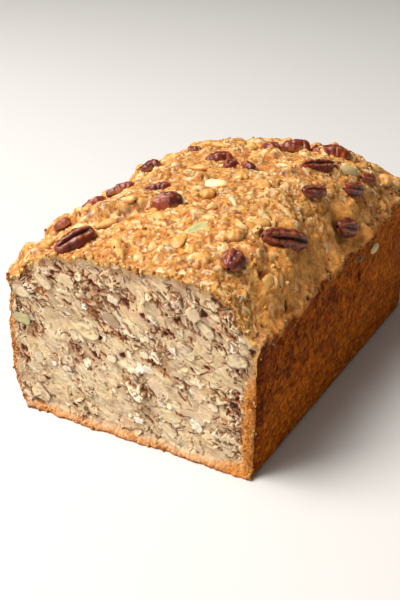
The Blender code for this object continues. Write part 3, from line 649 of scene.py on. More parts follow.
def dressedSkin():
    # crown over wall, joined along an uneven line near the rim, with painted shade where the skin lies low and painted
    # highlight where it stands up
    crownHigh, crownColour = calmSkin(*crownDetail())
    wallHigh, wallColour = wallDetail()
    beside, along = canvas["beside"], canvas["along"]
    rim = loaf["rimAtCut"] + loaf["rimRise"] * smooth[:, :, 1] / loaf["length"]
    uneven = sum(tall * cloud(along, beside, *wave) for tall, *wave in crust["rimWaves"])
    edge = smooth[:, :, 2] - rim + uneven - 0.6
    isCrown = ease(-0.6, 0.6, edge)
    height = crownHigh * isCrown + wallHigh * (1 - isCrown)
    lip = np.exp(-(((edge - 0.9) / 1.1) ** 2)) * (0.7 + 0.8 * cloud(along, beside, 4.0, 135))
    height += crust["lip"] * lip
    around = 0.5 * (blurred(height, 3) + blurred(height, 8))
    hollow = crust["hollow"][1] * np.clip((around - height) / crust["hollow"][0], 0, 1)
    crestHighlight = np.clip((height - around) / crust["crestHighlight"][0], 0, 1)
    brow = ease(*crust["brow"][:2], edge + 2.0 * cloud(beside, along, 3.0, 143, 3)) * isCrown
    colour = blend(wallColour, crownColour * crust["tanned"], isCrown)
    # painted shade in the hollows, then painted highlight on the crests and along the lip, and darker along the brow
    colour = blend(colour, crust["creviceShade"], hollow * isCrown)
    colour = coated(colour, (colour * crust["crestHighlight"][1] + 0.02, crestHighlight * isCrown),
                    (crust["lipHighlight"], 0.35 * np.clip(lip, 0, 1)), (crust["creviceShade"], crust["brow"][2] * brow))
    height, colour = markedSkin(height, colour)
    swing = 1 + 0.10 * cloud(beside, along, 30.0, 141) + 0.06 * cloud(beside, along, 3.0, 151)
    colour = colour * swing[..., None]

    under = ease(4.0, 0.3, smooth[:, :, 2])  # the base and its edge
    base = tone(wall["base"]) * (1 + 0.25 * cloud(beside, along, 2.5, 161))[..., None]
    colour = blend(colour, base, 0.6 * under)
    fade = ease(0.0, 2.0, smooth[:, :, 2])
    return height * fade, colour


def footReach(across, up):  # how far the foot of the cut stands forward of its plane
    uneven = 1 + 0.6 * cloud(across, 0 * across, 9.0, 137, 2) + 0.5 * cloud(across, up, 2.2, 139, 3)
    return frontEdge["foot"] * uneven * ease(frontEdge["footTall"], 0, up) ** 1.5


def roundedFront(points):
    # the walls turn in a little where they meet the cut, and the foot of the cut stands forward
    along = smooth[:, :, 1]
    isWall = ease(-0.3, 0.1, facing[:, :, 2]) * ease(0.75, 0.45, facing[:, :, 2])
    turnIn = frontEdge["round"] * np.clip(1 - along / frontEdge["roundLong"], 0, 1) ** 2 * isWall
    points = points - facing * (turnIn * ease(0, 3, smooth[:, :, 2]))[:, :, None]
    points[:, :, 1] -= footReach(points[:, :, 0], points[:, :, 2]) * ease(9, 0, along)
    return points


detail, skinColour = dressedSkin()
skin = roundedFront(smooth + facing * (relief + detail)[:, :, None])
skin[:, :, 2] = np.maximum(skin[:, :, 2], 0)
print("crust worked out")


def frontLip(sheet):  # a row ahead of the sheet, folded in behind the cut
    inward = np.array(frontEdge["middle"]) - sheet[0]
    inward[:, 1] = 0
    inward /= np.linalg.norm(inward, axis=1, keepdims=True)
    return sheet[0] + inward * frontEdge["lipDeep"] + np.array([0.0, frontEdge["lipBack"], 0.0])


def sheetOf(part):  # points and colours of some columns of the skin, with the lip ahead of them
    sheet, tints = skin[:, part], skinColour[:, part]
    return np.concatenate([frontLip(sheet)[None], sheet]) - origin, np.concatenate([tints[:1], tints])


def makeCrust():
    # the crown as two sheets, walls and base as a third and the baked end as a fourth, which share their edges
    columns = np.arange(skin.shape[1])
    points, tints = sheetOf(columns[crownColumns.start:crownColumns.stop + 1])
    half = len(points) // 2
    near, far = slice(0, half + 1), slice(half, None)
    around = np.concatenate([columns[crownColumns.stop:], columns[:crownColumns.start + 1]])
    sheets = (("crown_near", points[near], tints[near], crownFinish),
              ("crown_far", points[far], tints[far], crownFinish), ("tin_crust", *sheetOf(around), tinFinish))
    made = [makePiece(name, points, gridFaces(*points.shape[:2]), finish, tints)
            for name, points, tints, finish in sheets]
    points, tints, faces = bakedEnd()
    return [*made, makePiece("baked_end", points - origin, faces, tinFinish, tints)]


def bakedEnd():
    # rings that shrink from the last ring of the skin to a middle point, bulging a little
    edge, edgeColour = skin[-1], skinColour[-1]
    middle = np.array([0.0, loaf["length"] + loaf["endBulge"], edge[:, 2].mean()])
    share = np.linspace(0, 1, steps["back"] + 1)[:-1, None, None]
    rings = edge + (middle - edge) * share
    swell = loaf["endBulge"] * np.sin(math.pi / 2 * share[:, :, 0])
    x, z = rings[:, :, 0] + 500, rings[:, :, 2]
    bumps = lumpRelief(rings[:, :, 0], z, fields["back"])
    upper = 0.35 * ease(16, 48, z + 6 * cloud(x, z, 14.0, 171))
    grain, colours = wallGrain(x, z, upper, 0 * upper)
    # painted light: the same duller tone on the left of the baked end
    colours = blend(colours, wall["unshadedTone"], wall["unshadedEnd"] * ease(45, 15, rings[:, :, 0]))
    grow = ease(0, 0.06, share[:, :, 0] + 0.03 * cloud(x, z, 4.0, 181))
    grow[0] = 0
    rings[:, :, 1] = edge[:, 1] * (1 - grow) + grow * (loaf["length"] + swell + bumps + grain - 0.3)
    colours = edgeColour * (1 - grow)[..., None] + colours * grow[..., None]
    count = rings.shape[1]
    points = np.concatenate([rings.reshape(-1, 3), middle[None]])
    tints = np.concatenate([colours.reshape(-1, 3), tone(wall["deep"])[None]])
    faces = gridFaces(len(rings), count, wrap=True)
    here = np.arange(count)
    last = (len(rings) - 1) * count
    centre = np.full(count, len(points) - 1)
    fan = np.stack([last + here, centre, centre, last + (here + 1) % count], axis=1)
    return points, tints, np.concatenate([faces, fan])


for piece in makeCrust():
    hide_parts("loaf")
    print(piece.name, "made:", len(piece.data.polygons))


# The cut face: its crumb in layers, and the crust band round it.
cut = {
    "seed": 51, "across": 600, "up": 328, "slant": -32.0, "slantSpread": 20.0,
    "crust": {"all": 1.3, "right": 3.2, "left": 1.0, "low": 1.1, "top": 1.3, "wobble": 1.2},  # its cut thickness
    # zones where the dough lies another way: across, up, radius, angle
    "zones": ((32.0, 30.0, 17.0, -6.0), (26.0, 58.0, 15.0, -56.0), (-42.0, 62.0, 12.0, 42.0), (0.0, 4.0, 16.0, -3.0),
              (-30.0, 6.0, 14.0, -14.0), (34.0, 6.0, 16.0, 2.0), (-46.0, 34.0, 8.0, 95.0)),
    "pieces": ((6.4, 0.9), (3.2, 0.5)),  # sizes of the dough's own pieces, and how tall they stand
    # painted shade in the hollows and painted highlight on the crests, and a little painted shade on the left that
    # evens out the key lamp's stronger light there
    "hollow": 0.55, "crestHighlight": 0.5, "bright": 0.94, "leftShade": 0.04,
    "flakes": 230, "bits": 240, "bitLength": 1.9, "skins": 480, "skinLength": (1.6, 7.0),
    "skinWide": (0.16, 0.48), "flakeLength": 4.8, "flakeSpread": 0.36, "flakeWidth": (0.3, 0.75),
    "flakeStands": (0.1, 0.7), "flakeTurn": 0.35, "bitTurn": 0.6, "flakeRoll": 0.38, "flakeTilt": 0.25,
    "flakeBright": (0.84, 1.06), "flakeShare": (0.3, 1.0), "skinTurn": 0.4, "skinBend": 0.16, "skinShare": (0.65, 1.0),
    "pits": 46, "pitRadius": (0.35, 1.1), "pitDepth": (0.6, 1.3), "chunks": 22, "chunkLength": (0.8, 2.2),
    "chunkWide": (0.5, 0.9), "chunkBright": (0.88, 1.02), "pitLong": (1.1, 2.4), "speckLong": (1.2, 2.6),
    "chunkTall": (0.2, 0.6), "chunkMiddle": (16, 30), "chunkReach": (22, 13), "specks": 430, "speckWide": (0.13, 0.3),
    # the cracks between the dough's pieces are sunk and painted with shade
    "speckShare": (0.5, 0.95), "speckDepth": 0.15, "crackDepth": 0.6, "crackShadeShare": 0.9, "skinDepth": 0.35,
    # the last colour is the painted shade laid in the crumb's hollows
    "matrix": "#DEC49C", "grey": "#CCB495", "warm": "#E9CC98", "blush": "#DFB88E", "shade": "#8E4A24",
    "dough": ("#DFC5A0", "#CEB697", "#E9CE9C", "#DFBC90", "#F3E3BC", "#CCAC86"),
    "cream": ("#F2E0B8", "#EAD0A2", "#F6E8CC", "#E2C69C", "#DAC0A0"), "white": "#FAF0DC",
    "skinTones": ("#5E2616", "#884522", "#4C1C18", "#A65C2E", "#703A26"),
    "stains": ("#BE8044", "#A66834", "#987044"), "shadow": "#BE9C7C",
    # the first colour is the painted shade inside the pits
    "pitShade": "#40200F", "speck": "#5A3A26", "peach": "#C98846", "band": "#BC7028", "bandEdge": "#98501E",
    # the first colour is a painted highlight on the crust band at the right, where its rounded edge catches the light
    "rightHighlight": "#D8923A", "seep": "#DFA956",
    # single pits seen on the cut, painted dark with their shade: across, up, half length, half width, heading
    "namedPits": ((0.7, 36.2, 1.7, 1.5, 70), (24.3, 57.2, 1.3, 0.8, -40), (42.2, 56.8, 1.6, 0.8, -60),
                  (37.5, 41.8, 1.9, 0.9, -35), (31.0, 38.6, 1.5, 0.8, -30), (10.5, 56.2, 2.0, 1.0, -30),
                  (-12.0, 33.5, 2.6, 1.0, -35), (-24.0, 53.0, 2.2, 0.7, -30), (19.5, 51.0, 1.6, 1.1, 0)),
}


def cutOutline():  # the four sides of the cut, read off the skin's first ring
    ring = skin[0][:, ::2]
    count = len(ring)
    lowRight = steps["base"] + steps["rightCorner"] // 2
    lowLeft = count - steps["leftCorner"] // 2
    sides = {"bottom": np.concatenate([ring[lowLeft:], ring[:lowRight + 1]]),
             "right": ring[lowRight:crownColumns.start + 1],
             "top": ring[crownColumns.start:crownColumns.stop + 1][::-1],
             "left": ring[crownColumns.stop:lowLeft + 1][::-1]}
    return sides, ring


def coonsPatch(sides, across, up):
    # a grid drawn between four sides: the two ways of joining them added, less the corners' share
    bottom, top = resampled(sides["bottom"], across), resampled(sides["top"], across)
    left, right = resampled(sides["left"], up), resampled(sides["right"], up)
    u = np.linspace(0, 1, across + 1)[None, :, None]
    v = np.linspace(0, 1, up + 1)[:, None, None]
    between = (1 - v) * bottom[None] + v * top[None] + (1 - u) * left[:, None] + u * right[:, None]
    corners = ((1 - u) * (1 - v) * bottom[0] + u * (1 - v) * bottom[-1]
               + (1 - u) * v * top[0] + u * v * top[-1])
    return between - corners


def edgeDistance(points, ring):  # distance of each point to the outline, and the outline's direction there
    best = np.full(len(points), 1e9)
    turn = np.zeros(len(points))
    ends = np.roll(ring, -1, axis=0)
    for start, end in zip(ring[::2], ends[1::2]):
        run = end - start
        length = max(np.hypot(*run), 1e-6)
        part = np.clip(((points - start) @ run) / length ** 2, 0, 1)
        gap = np.hypot(*(points - start - part[:, None] * run).T)
        nearer = gap < best
        best[nearer] = gap[nearer]
        turn[nearer] = math.atan2(run[1], run[0])
    return best, turn


def doughFlow(across, up, toEdge, edgeTurn):
    # the way the dough lies: slanting, turned in zones, and along the outline near it (angles doubled to mix)
    angle = np.radians(cut["slant"] + cut["slantSpread"] * 1.6 * cloud(across, up, 11.0, 205, 3))
    mixed = np.stack([np.cos(2 * angle), np.sin(2 * angle)])
    for x, z, radius, degrees in cut["zones"]:
        share = 0.9 * np.exp(-((across - x) ** 2 + (up - z) ** 2) / radius ** 2)
        zone = np.radians(2 * degrees) + 0.8 * cloud(across, up, 8.0, 206, 2)
        mixed = mixed * (1 - share) + share * np.stack([np.cos(zone), np.sin(zone)])
    near = np.exp(-((toEdge / 4.0) ** 2))
    mixed = mixed * (1 - near) + near * np.stack([np.cos(2 * edgeTurn), np.sin(2 * edgeTurn)])
    return 0.5 * np.arctan2(mixed[1], mixed[0])


def streaks(across, up, angle, size, reach, seed):
    # noise averaged along the flow, so that it is drawn out into streaks, scaled to a spread of 1
    total = np.zeros_like(across)
    for step in np.linspace(-reach, reach, 11):
        total += softNoise(across + step * np.cos(angle), up + step * np.sin(angle), size, seed)
    return (total - total.mean()) / total.std()


def doughLayers(face, toEdge, edgeTurn):
    # the dough under everything: its tones and streaks, its own pieces with painted shade in the cracks between them,
    # and stains
    across, up = face[:, :, 0], face[:, :, 1]
    angle = doughFlow(across, up, toEdge, edgeTurn)
    long = streaks(across, up, angle, 1.6, 3.0, 401)
    fine = streaks(across, up, angle, 0.6, 1.1, 411)
    ragged = cloud(across, up, 1.3, 415, 3)
    slope = math.radians(cut["slant"])
    forward = (across * math.cos(slope) + up * math.sin(slope)) / 1.7
    sideways = up * math.cos(slope) - across * math.sin(slope)
    cluster = ease(-0.2, 0.4, cloud(forward + 200, sideways + 200, 7.5, 421, 3))
    calm = ease(24, 10, up + 5 * cloud(across, up, 12.0, 423, 2))  # smoother dough low down

    colour = coated(blend(cut["matrix"], cut["grey"], ease(-0.3, 0.4, cloud(across, up, 15.0, 201))),
                    (cut["warm"], 0.5 * ease(-0.2, 1.4, long)),
                    (cut["blush"], 0.6 * ease(0.0, 1.2, streaks(across, up, angle, 3.0, 3.0, 431))))
    height = 0.12 * long + 0.06 * fine + 0.25 * cloud(across, up, 5.0, 221)
    table = toneTable(cut["dough"])
    crack = np.zeros(across.shape)
    for number, (size, tall) in enumerate(cut["pieces"]):
        bendX, bendY = (cloud(across, up, 3.2, 451 + 7 * number + 3 * turn, 4) for turn in (0, 1))
        _, border, value = cellNoise(forward + 0.9 * bendX + 300, sideways + 1.3 * bendY + 300, size, 461 + number)
        colour = blend(colour, table[(value * 5.999).astype(int)], 0.55 - 0.2 * number)
        height += tall * (0.55 + 0.5 * cluster) * (value - 0.5) * ease(0.0, 0.15, border)
        broken = ease(-0.1, 0.35, cloud(across, up, 4.2, 471 + number, 3) + 0.6 * cluster - 0.3)
        crack = np.maximum(crack, ease(0.16 / size ** 0.5, 0.02, border) * broken * (1 - 0.5 * calm))
    colour = colour * (1 + 0.05 * fine)[..., None]
    # painted shade in the cracks, in the darkest skin tone
    colour = blend(colour, cut["skinTones"][0], cut["crackShadeShare"] * crack)
    height -= cut["crackDepth"] * crack
    for number, shade in enumerate(cut["stains"]):
        mask = ease(0.3, 1.2, streaks(across, up, angle, 1.8, 1.3, 441 + number) + 0.9 * ragged)
        colour = blend(colour, shade, 0.75 * mask * (0.05 + 0.95 * cluster) * (1 - 0.6 * calm))
    return {"stream": np.random.default_rng(cut["seed"]), "across": across, "up": up, "angle": angle, "fine": fine,
            "ragged": ragged, "cluster": cluster, "calm": calm, "height": height, "colour": colour,
            "place": {"beside": across, "along": up, "step": 0.19}}


def layersOf(dough, names):  # some of the dough's fields by name
    return (dough[name] for name in names.split())


def spot(dough, likely):  # a place on the face where the given field is likely to be high, and its flow
    stream, (rows, columns) = dough["stream"], likely.shape
    for _ in range(40):
        row, column = stream.integers(0, rows), stream.integers(0, columns)
        if stream.random() < likely[row, column]:
            break
    return row, column, dough["angle"][row, column]


def layFlakes(dough):  # flakes and smaller bits, each at its own height, tilt and tone
    stream, place, height, colour = layersOf(dough, "stream place height colour")
    cluster, ragged, fine = layersOf(dough, "cluster ragged fine")
    for number in range(cut["flakes"] + cut["bits"]):
        isFlake = number < cut["flakes"]
        row, column, heading = spot(dough, 0.25 + 0.75 * cluster)
        heading += stream.normal(0, cut["flakeTurn" if isFlake else "bitTurn"])
        length = cut["flakeLength" if isFlake else "bitLength"] * math.exp(stream.normal(0, cut["flakeSpread"])) / 2
        wide = length * stream.uniform(*cut["flakeWidth"])
        part, _, run, side = ovalAt(place, row, column, length * 1.3, heading, length, wide)
        uneven = (np.abs(run) ** 2.6 + np.abs(side) ** 2.6) * (1 + 1.5 * ragged[part])
        inside = (np.maximum(uneven, 0) ** 0.385 - 1) * wide  # about the distance to its edge
        over = ease(0.08, -0.08, inside)
        stand = stream.uniform(*cut["flakeStands"]) * (0.5 + 0.5 * cluster[row, column])
        rise = height[row, column] + stand + stream.normal(0, cut["flakeRoll"]) * side
        rise = rise + stream.normal(0, cut["flakeTilt"]) * run + 0.06 * fine[part]
        height[part] = height[part] * (1 - over) + rise * over
        shade = tone(cut["cream"][stream.integers(0, 5)]) * stream.uniform(*cut["flakeBright"])
        colour[part] = blend(colour[part], shade, stream.uniform(*cut["flakeShare"]) * over)
        strength = stream.uniform(0.0, 0.6) + 0.6 * cluster[row, column] * stream.random()
        if strength > 0.3:  # a painted shadow along the lower side, in the brown skin tones, fading out
            lower = -side if abs(heading) < 1.2 else side
            rim = ease(-0.22, -0.06, inside) * ease(0.3, 0.1, inside) * ease(0.0, 0.6, lower)
            tint = cut["skinTones"][stream.integers(0, 5)]
            colour[part] = blend(colour[part], tint, np.clip(strength * 1.2, 0, 1) * rim)
            height[part] -= 0.3 * strength * rim


def layChunks(dough):  # pale pieces of nut, with painted shadow as a dark line on their lower side
    stream, place, height, colour, ragged = layersOf(dough, "stream place height colour ragged")
    (x, z), (wide, tall) = cut["chunkMiddle"], cut["chunkReach"]
    whiter = np.exp(-(((dough["across"] - x) / wide) ** 2 + ((dough["up"] - z) / tall) ** 2))
    for number in range(cut["chunks"]):
        row, column, heading = spot(dough, 0.12 + 0.88 * whiter)
        length = stream.uniform(*cut["chunkLength"])
        part, _, run, side = ovalAt(place, row, column, length * 1.5, heading + stream.normal(0, cut["skinTurn"]),
                                    length, length * stream.uniform(*cut["chunkWide"]))
        uneven = (np.abs(run + 0.3 * side) ** 1.6 + np.abs(side) ** 3) * (1 + 0.9 * ragged[part])
        over = ease(1.1, 0.9, uneven)
        tilt = stream.normal(0, cut["flakeTilt"], 2)
        rise = height[row, column] + stream.uniform(*cut["chunkTall"]) + tilt[0] * run + tilt[1] * side
        height[part] = height[part] * (1 - over) + rise * over
        shade = blend(cut["cream"][2], cut["white"], stream.random() ** 2)
        colour[part] = blend(colour[part], shade * stream.uniform(*cut["chunkBright"]), 0.9 * over)
        # painted shadow along the lower side
        rim = ease(0.9, 1.15, uneven) * ease(2.1, 1.3, uneven) * ease(0.6, -0.6, side + 0.5 * run)
        colour[part] = blend(colour[part], cut["skinTones"][number % 5], 0.8 * rim * stream.random())
        height[part] -= 0.25 * rim


def laySkins(dough):  # thin brown skins seen on edge, bent and fading at their ends
    stream, place, height, colour = layersOf(dough, "stream place height colour")
    cluster, calm, ragged = layersOf(dough, "cluster calm ragged")
    for _ in range(cut["skins"]):
        row, column, heading = spot(dough, (0.05 + 0.95 * cluster) * (1 - 0.6 * calm))
        heading += stream.normal(0, cut["skinTurn"])
        length = (cut["skinLength"][0] + np.ptp(cut["skinLength"]) * stream.random() ** 1.7) / 2
        wide = stream.uniform(*cut["skinWide"])
        part, _, run, side = ovalAt(place, row, column, length * 1.4, heading, 1, 1)
        side = side + stream.normal(0, cut["skinBend"]) * (run ** 2) / length + 0.5 * ragged[part]
        body = ease(1.0, 0.5, np.abs(run) / length) * ease(1.5, 0.6, np.abs(side) / wide)
        halo = ease(1.1, 0.4, np.abs(run) / length) * ease(4.0, 0.8, np.abs(side) / wide)
        strength = stream.uniform(*cut["skinShare"])
        shade = cut["skinTones"][stream.integers(0, 5)]
        height[part] -= cut["skinDepth"] * strength * body
        colour[part] = coated(colour[part], (cut["stains"][0], 0.22 * strength * halo), (shade, strength * body))


def layPits(dough):  # pits painted dark with their shade, with a brown halo, first the seeded ones and then those with places of their own
    stream, place, height, colour = layersOf(dough, "stream place height colour")
    across, up, ragged = layersOf(dough, "across up ragged")
    likely = (0.05 + 0.95 * dough["cluster"]) * (1 - 0.7 * dough["calm"])
    pits = [(*spot(dough, likely), stream.uniform(*cut["pitRadius"]), 0) for _ in range(cut["pits"])]
    for x, z, length, wide, degrees in cut["namedPits"]:
        row, column = nearest((across - x) ** 2 + (up - z) ** 2)
        pits.append((row, column, math.radians(degrees), wide, length / wide))
    for row, column, heading, wide, ratio in pits:
        ratio = ratio or stream.uniform(*cut["pitLong"])
        part, gap, _, _ = ovalAt(place, row, column, 2.4 * wide * ratio, heading, wide * ratio, wide)
        uneven = gap * (1 + 1.6 * ragged[part])
        soft = ease(1.0, 0.5, uneven)
        height[part] -= stream.uniform(*cut["pitDepth"]) * soft
        colour[part] = coated(colour[part], (cut["skinTones"][3], 0.5 * ease(3.0, 0.9, uneven)),
                              (cut["pitShade"], 0.95 * soft))


def laySpecks(dough):  # small brown specks, most of them low down
    stream, place, height, colour = layersOf(dough, "stream place height colour")
    low = ease(30, 6, dough["up"])
    for _ in range(cut["specks"]):
        row, column, heading = spot(dough, 0.2 + 0.8 * np.maximum(low, 0.6 * dough["cluster"]))
        wide = stream.uniform(*cut["speckWide"])
        part, gap, _, _ = ovalAt(place, row, column, 2, heading, wide * stream.uniform(*cut["speckLong"]), wide)
        soft = ease(1.5, 0.5, gap) * stream.uniform(*cut["speckShare"])
        pressed(height, colour, part, soft, cut["speckDepth"], cut["speck"])


def cutDetail(face, toEdge, edgeTurn):
    # crumb in layers over the dough, then painted shade where it lies low and painted highlight where it stands up,
    # and a little painted shade on the left against the key lamp's stronger light there
    dough = doughLayers(face, toEdge, edgeTurn)
    for lay in (layFlakes, layChunks, laySkins, layPits, laySpecks):
        lay(dough)
    across, height, colour, cluster, calm = layersOf(dough, "across height colour cluster calm")
    around = 0.5 * (blurred(height, 3) + blurred(height, 7))
    hollow = np.clip((around - height) / cut["hollow"], 0, 1)
    crestHighlight = np.clip((height - around) / cut["crestHighlight"], 0, 1)
    colour = blend(colour, cut["shade"], (0.4 + 0.35 * cluster) * hollow * (1 - 0.4 * calm))
    colour = blend(colour, colour * 1.1 + 0.03, crestHighlight)
    return height, colour * (cut["bright"] - cut["leftShade"] * ease(-12, -40, across))[..., None]


def edgedCut(height, colour, face, toEdge):
    # the crust's cut thickness: orange outside, then peach, wide below and at the right, mixed in at the top; a
    # painted highlight on the band at the right, and a painted shadow under the top
    across, up = face[:, :, 0], face[:, :, 1]
    v = np.linspace(0, 1, up.shape[0])[:, None] + 0 * up
    u = np.linspace(0, 1, up.shape[1])[None, :] + 0 * up
    top = ease(0.62, 0.9, v)
    right = ease(0.8, 0.97, u) * (1 - top)
    left = ease(0.2, 0.05, u) * ease(0.1, 0.3, v) * (1 - top)
    low = ease(0.14, 0.03, v)
    wobble = cloud(across, up, 3.0, 231, 3) + 0.6 * cloud(across, up, 1.0, 235, 2)
    thick = cut["crust"]
    deep = (thick["all"] + thick["right"] * right + thick["left"] * left + thick["low"] * low * (1 - right)
            - thick["top"] * top + thick["wobble"] * wobble)
    shadow = top * ease(8.0, 1.0, toEdge + 3.0 * cloud(across, up, 7.0, 241, 3))
    seep = top * ease(2.6, 0.2, toEdge + 1.8 * wobble)
    halo = ease(deep + 1.6, deep - 0.6, toEdge) * (1 - top)
    band = ease(deep - 0.6, deep - 1.8, toEdge) * (1 - top)
    edge = ease(1.0, 0.1, toEdge + 0.4 * wobble) * (1 - top)
    rise, pick, _ = crumbs(across, up, wall["grains"], 245)
    specks = np.maximum(ease(0.1, 0.7, -wobble), ease(0.3, 0.1, pick)) * np.maximum(halo, band)
    colour = coated(colour, (colour * tone(cut["shadow"]), 0.6 * shadow),
                    (tone(cut["seep"]) * (1 + 0.12 * wobble)[..., None], 0.8 * seep),
                    (blend(cut["peach"], cut["rightHighlight"], right), 0.8 * halo),
                    (blend(cut["band"], cut["rightHighlight"], 0.4 * right), 0.85 * band), (cut["bandEdge"], 0.45 * specks),
                    (cut["cream"][0], 0.3 * (1 - right) * ease(0.75, 0.95, pick) * halo),
                    (cut["bandEdge"], 0.75 * edge))
    height = height * (1 - 0.5 * halo) + 1.3 * rise * halo
    return height + 0.35 * halo * np.abs(wobble), colour


def makeCut():
    # the crumb on a grid between the four sides of the cut, its rim folded back under the crust
    sides, ring = cutOutline()
    face = coonsPatch(sides, cut["across"], cut["up"])
    toEdge, edgeTurn = edgeDistance(face.reshape(-1, 2), ring)
    toEdge, edgeTurn = toEdge.reshape(face.shape[:2]), edgeTurn.reshape(face.shape[:2])
    height, colour = edgedCut(*cutDetail(face, toEdge, edgeTurn), face, toEdge)
    fade = ease(0.0, 1.2, toEdge)
    stand = lumpRelief(face[:, :, 0], face[:, :, 1], fields["cut"]) + height
    forth = stand * (0.25 + 0.75 * fade) + footReach(face[:, :, 0], face[:, :, 1])
    points = np.stack([face[:, :, 0], -forth, face[:, :, 1]], axis=2)
    inward = (np.array(frontEdge["middle"]) - points) * np.array([1, 0, 1])
    inward /= np.linalg.norm(inward, axis=2, keepdims=True) + 1e-9
    rimmed, turned, tints = (np.pad(field, ((1, 1), (1, 1), (0, 0)), mode="edge")
                             for field in (points, inward, colour))
    border = np.ones(rimmed.shape[:2], bool)
    border[1:-1, 1:-1] = False
    rimmed[border] += turned[border] * frontEdge["rimDeep"] + np.array([0, frontEdge["rimBack"], 0])
    half = rimmed.shape[1] // 2
    for name, part in (("cut_crumb_left", slice(0, half + 1)), ("cut_crumb_right", slice(half, None))):
        points = rimmed[:, part] - origin
        piece = makePiece(name, points, gridFaces(*points.shape[:2])[:, ::-1], crumbFinish, tints[:, part])
        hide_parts("loaf")
        print(name, "made:", len(piece.data.polygons))


makeCut()


# The pecan halves: shares and sizes of their forms and their tones, then their places on the crust.
pecans = {
    "groove": 0.4, "taper": 0.12, "grooveWidth": 0.012, "underside": 0.7, "back": 1.15, "long": 16.5, "short": 11.0,
    "seed": 700, "grooveDrift": 0.10, "tipPower": 0.62, "foldLean": 2.6, "fineWrinkle": 0.14, "lips": 0.07,
    "around": 72, "rings": 60, "wrinkle": 0.72, "dark": "#3E1008", "skin": "#6E200F", "warm": "#A04218",
    # the purple colour is a painted reflection of the sky on the halves' upper side
    "light": "#D08446", "skyReflection": "#7C3A3C",
}
# across, along, heading, length, width, height, lift above the crust, nose up, roll
pecanPlaces = (
    (-24.4, 8.2, 57.0, 17.0, 8.6, 7.0, 0.6, 4.0, 24.0), (-3.4, 40.5, 26.0, 13.4, 10.0, 8.4, -0.4, 0.0, 0.0),
    (-36.0, 37.0, 62.0, 12.5, 7.0, 5.6, -0.3, 0.0, -12.0), (-29.4, 48.2, 40.0, 13.0, 5.6, 4.8, 0.0, 0.0, -10.0),
    (-16.2, 53.0, 34.0, 13.0, 5.0, 4.4, -0.2, 0.0, 0.0), (-39.6, 21.4, 30.0, 7.6, 5.0, 4.6, -0.7, 0.0, 0.0),
    (-30.0, 72.4, 62.0, 8.8, 6.6, 5.2, -0.9, 0.0, 0.0), (-8.2, 92.0, 54.0, 12.5, 6.6, 5.2, 0.4, 0.0, 0.0),
    (1.8, 83.6, 100.0, 8.4, 6.2, 5.4, 0.4, -10.0, 0.0), (9.0, 85.8, -34.0, 8.5, 4.6, 4.2, 0.4, 0.0, 0.0),
    (7.6, 110.6, -40.0, 11.5, 8.0, 6.2, 0.4, 0.0, 0.0), (14.4, 121.4, 42.0, 13.0, 9.2, 7.4, 0.4, 0.0, 0.0),
    (27.6, 129.4, 38.0, 18.0, 9.2, 7.0, 0.0, 0.0, 8.0), (33.4, 101.2, 60.0, 20.0, 7.4, 6.0, 0.6, 0.0, 16.0),
    (47.2, 104.2, 58.0, 13.4, 6.2, 4.8, 0.5, 0.0, 18.0), (41.0, 77.0, 56.0, 12.5, 5.6, 4.6, 0.5, 0.0, 18.0),
    (45.2, 44.4, 46.0, 21.5, 8.8, 6.8, 0.2, 0.0, 28.0), (53.2, 86.2, 44.0, 12.4, 8.4, 7.0, 1.0, 0.0, 14.0),
    (38.2, 15.8, 105.0, 10.5, 8.4, 6.8, 0.6, -12.0, 0.0), (-27.4, 104.4, 66.0, 6.8, 5.2, 4.4, 0.0, 0.0, 0.0),
    (47.0, 124.4, 52.0, 8.6, 5.4, 4.6, 0.2, 0.0, 8.0),
)


def crustSeat(across, along):  # point on the solid's crust and the smooth crown's normal there
    step = 1.0
    x, y = across + step * np.array([0, 1, -1, 0, 0]), along + step * np.array([0, 0, 0, 1, -1])
    heights = crownHeight(x, y)
    normal = np.array([heights[1] - heights[2], heights[3] - heights[4], -2 * step])
    normal /= -np.linalg.norm(normal)
    rise = largeRelief(x[:1], y[:1])
    return np.array([across, along, heights[0]]) - origin + normal * rise[0], normal


def seatFrame(normal, heading, pitch=0.0, roll=0.0):  # turn of a piece that lies on the crust
    run = np.array([math.cos(math.radians(heading)), math.sin(math.radians(heading)), 0.0])
    run = run - normal * run.dot(normal)
    run /= np.linalg.norm(run)
    stand = np.stack([run, np.cross(normal, run), normal], axis=1)
    turn = Matrix.Rotation(math.radians(-pitch), 3, "Y") @ Matrix.Rotation(math.radians(roll), 3, "X")
    return stand @ np.array(turn)


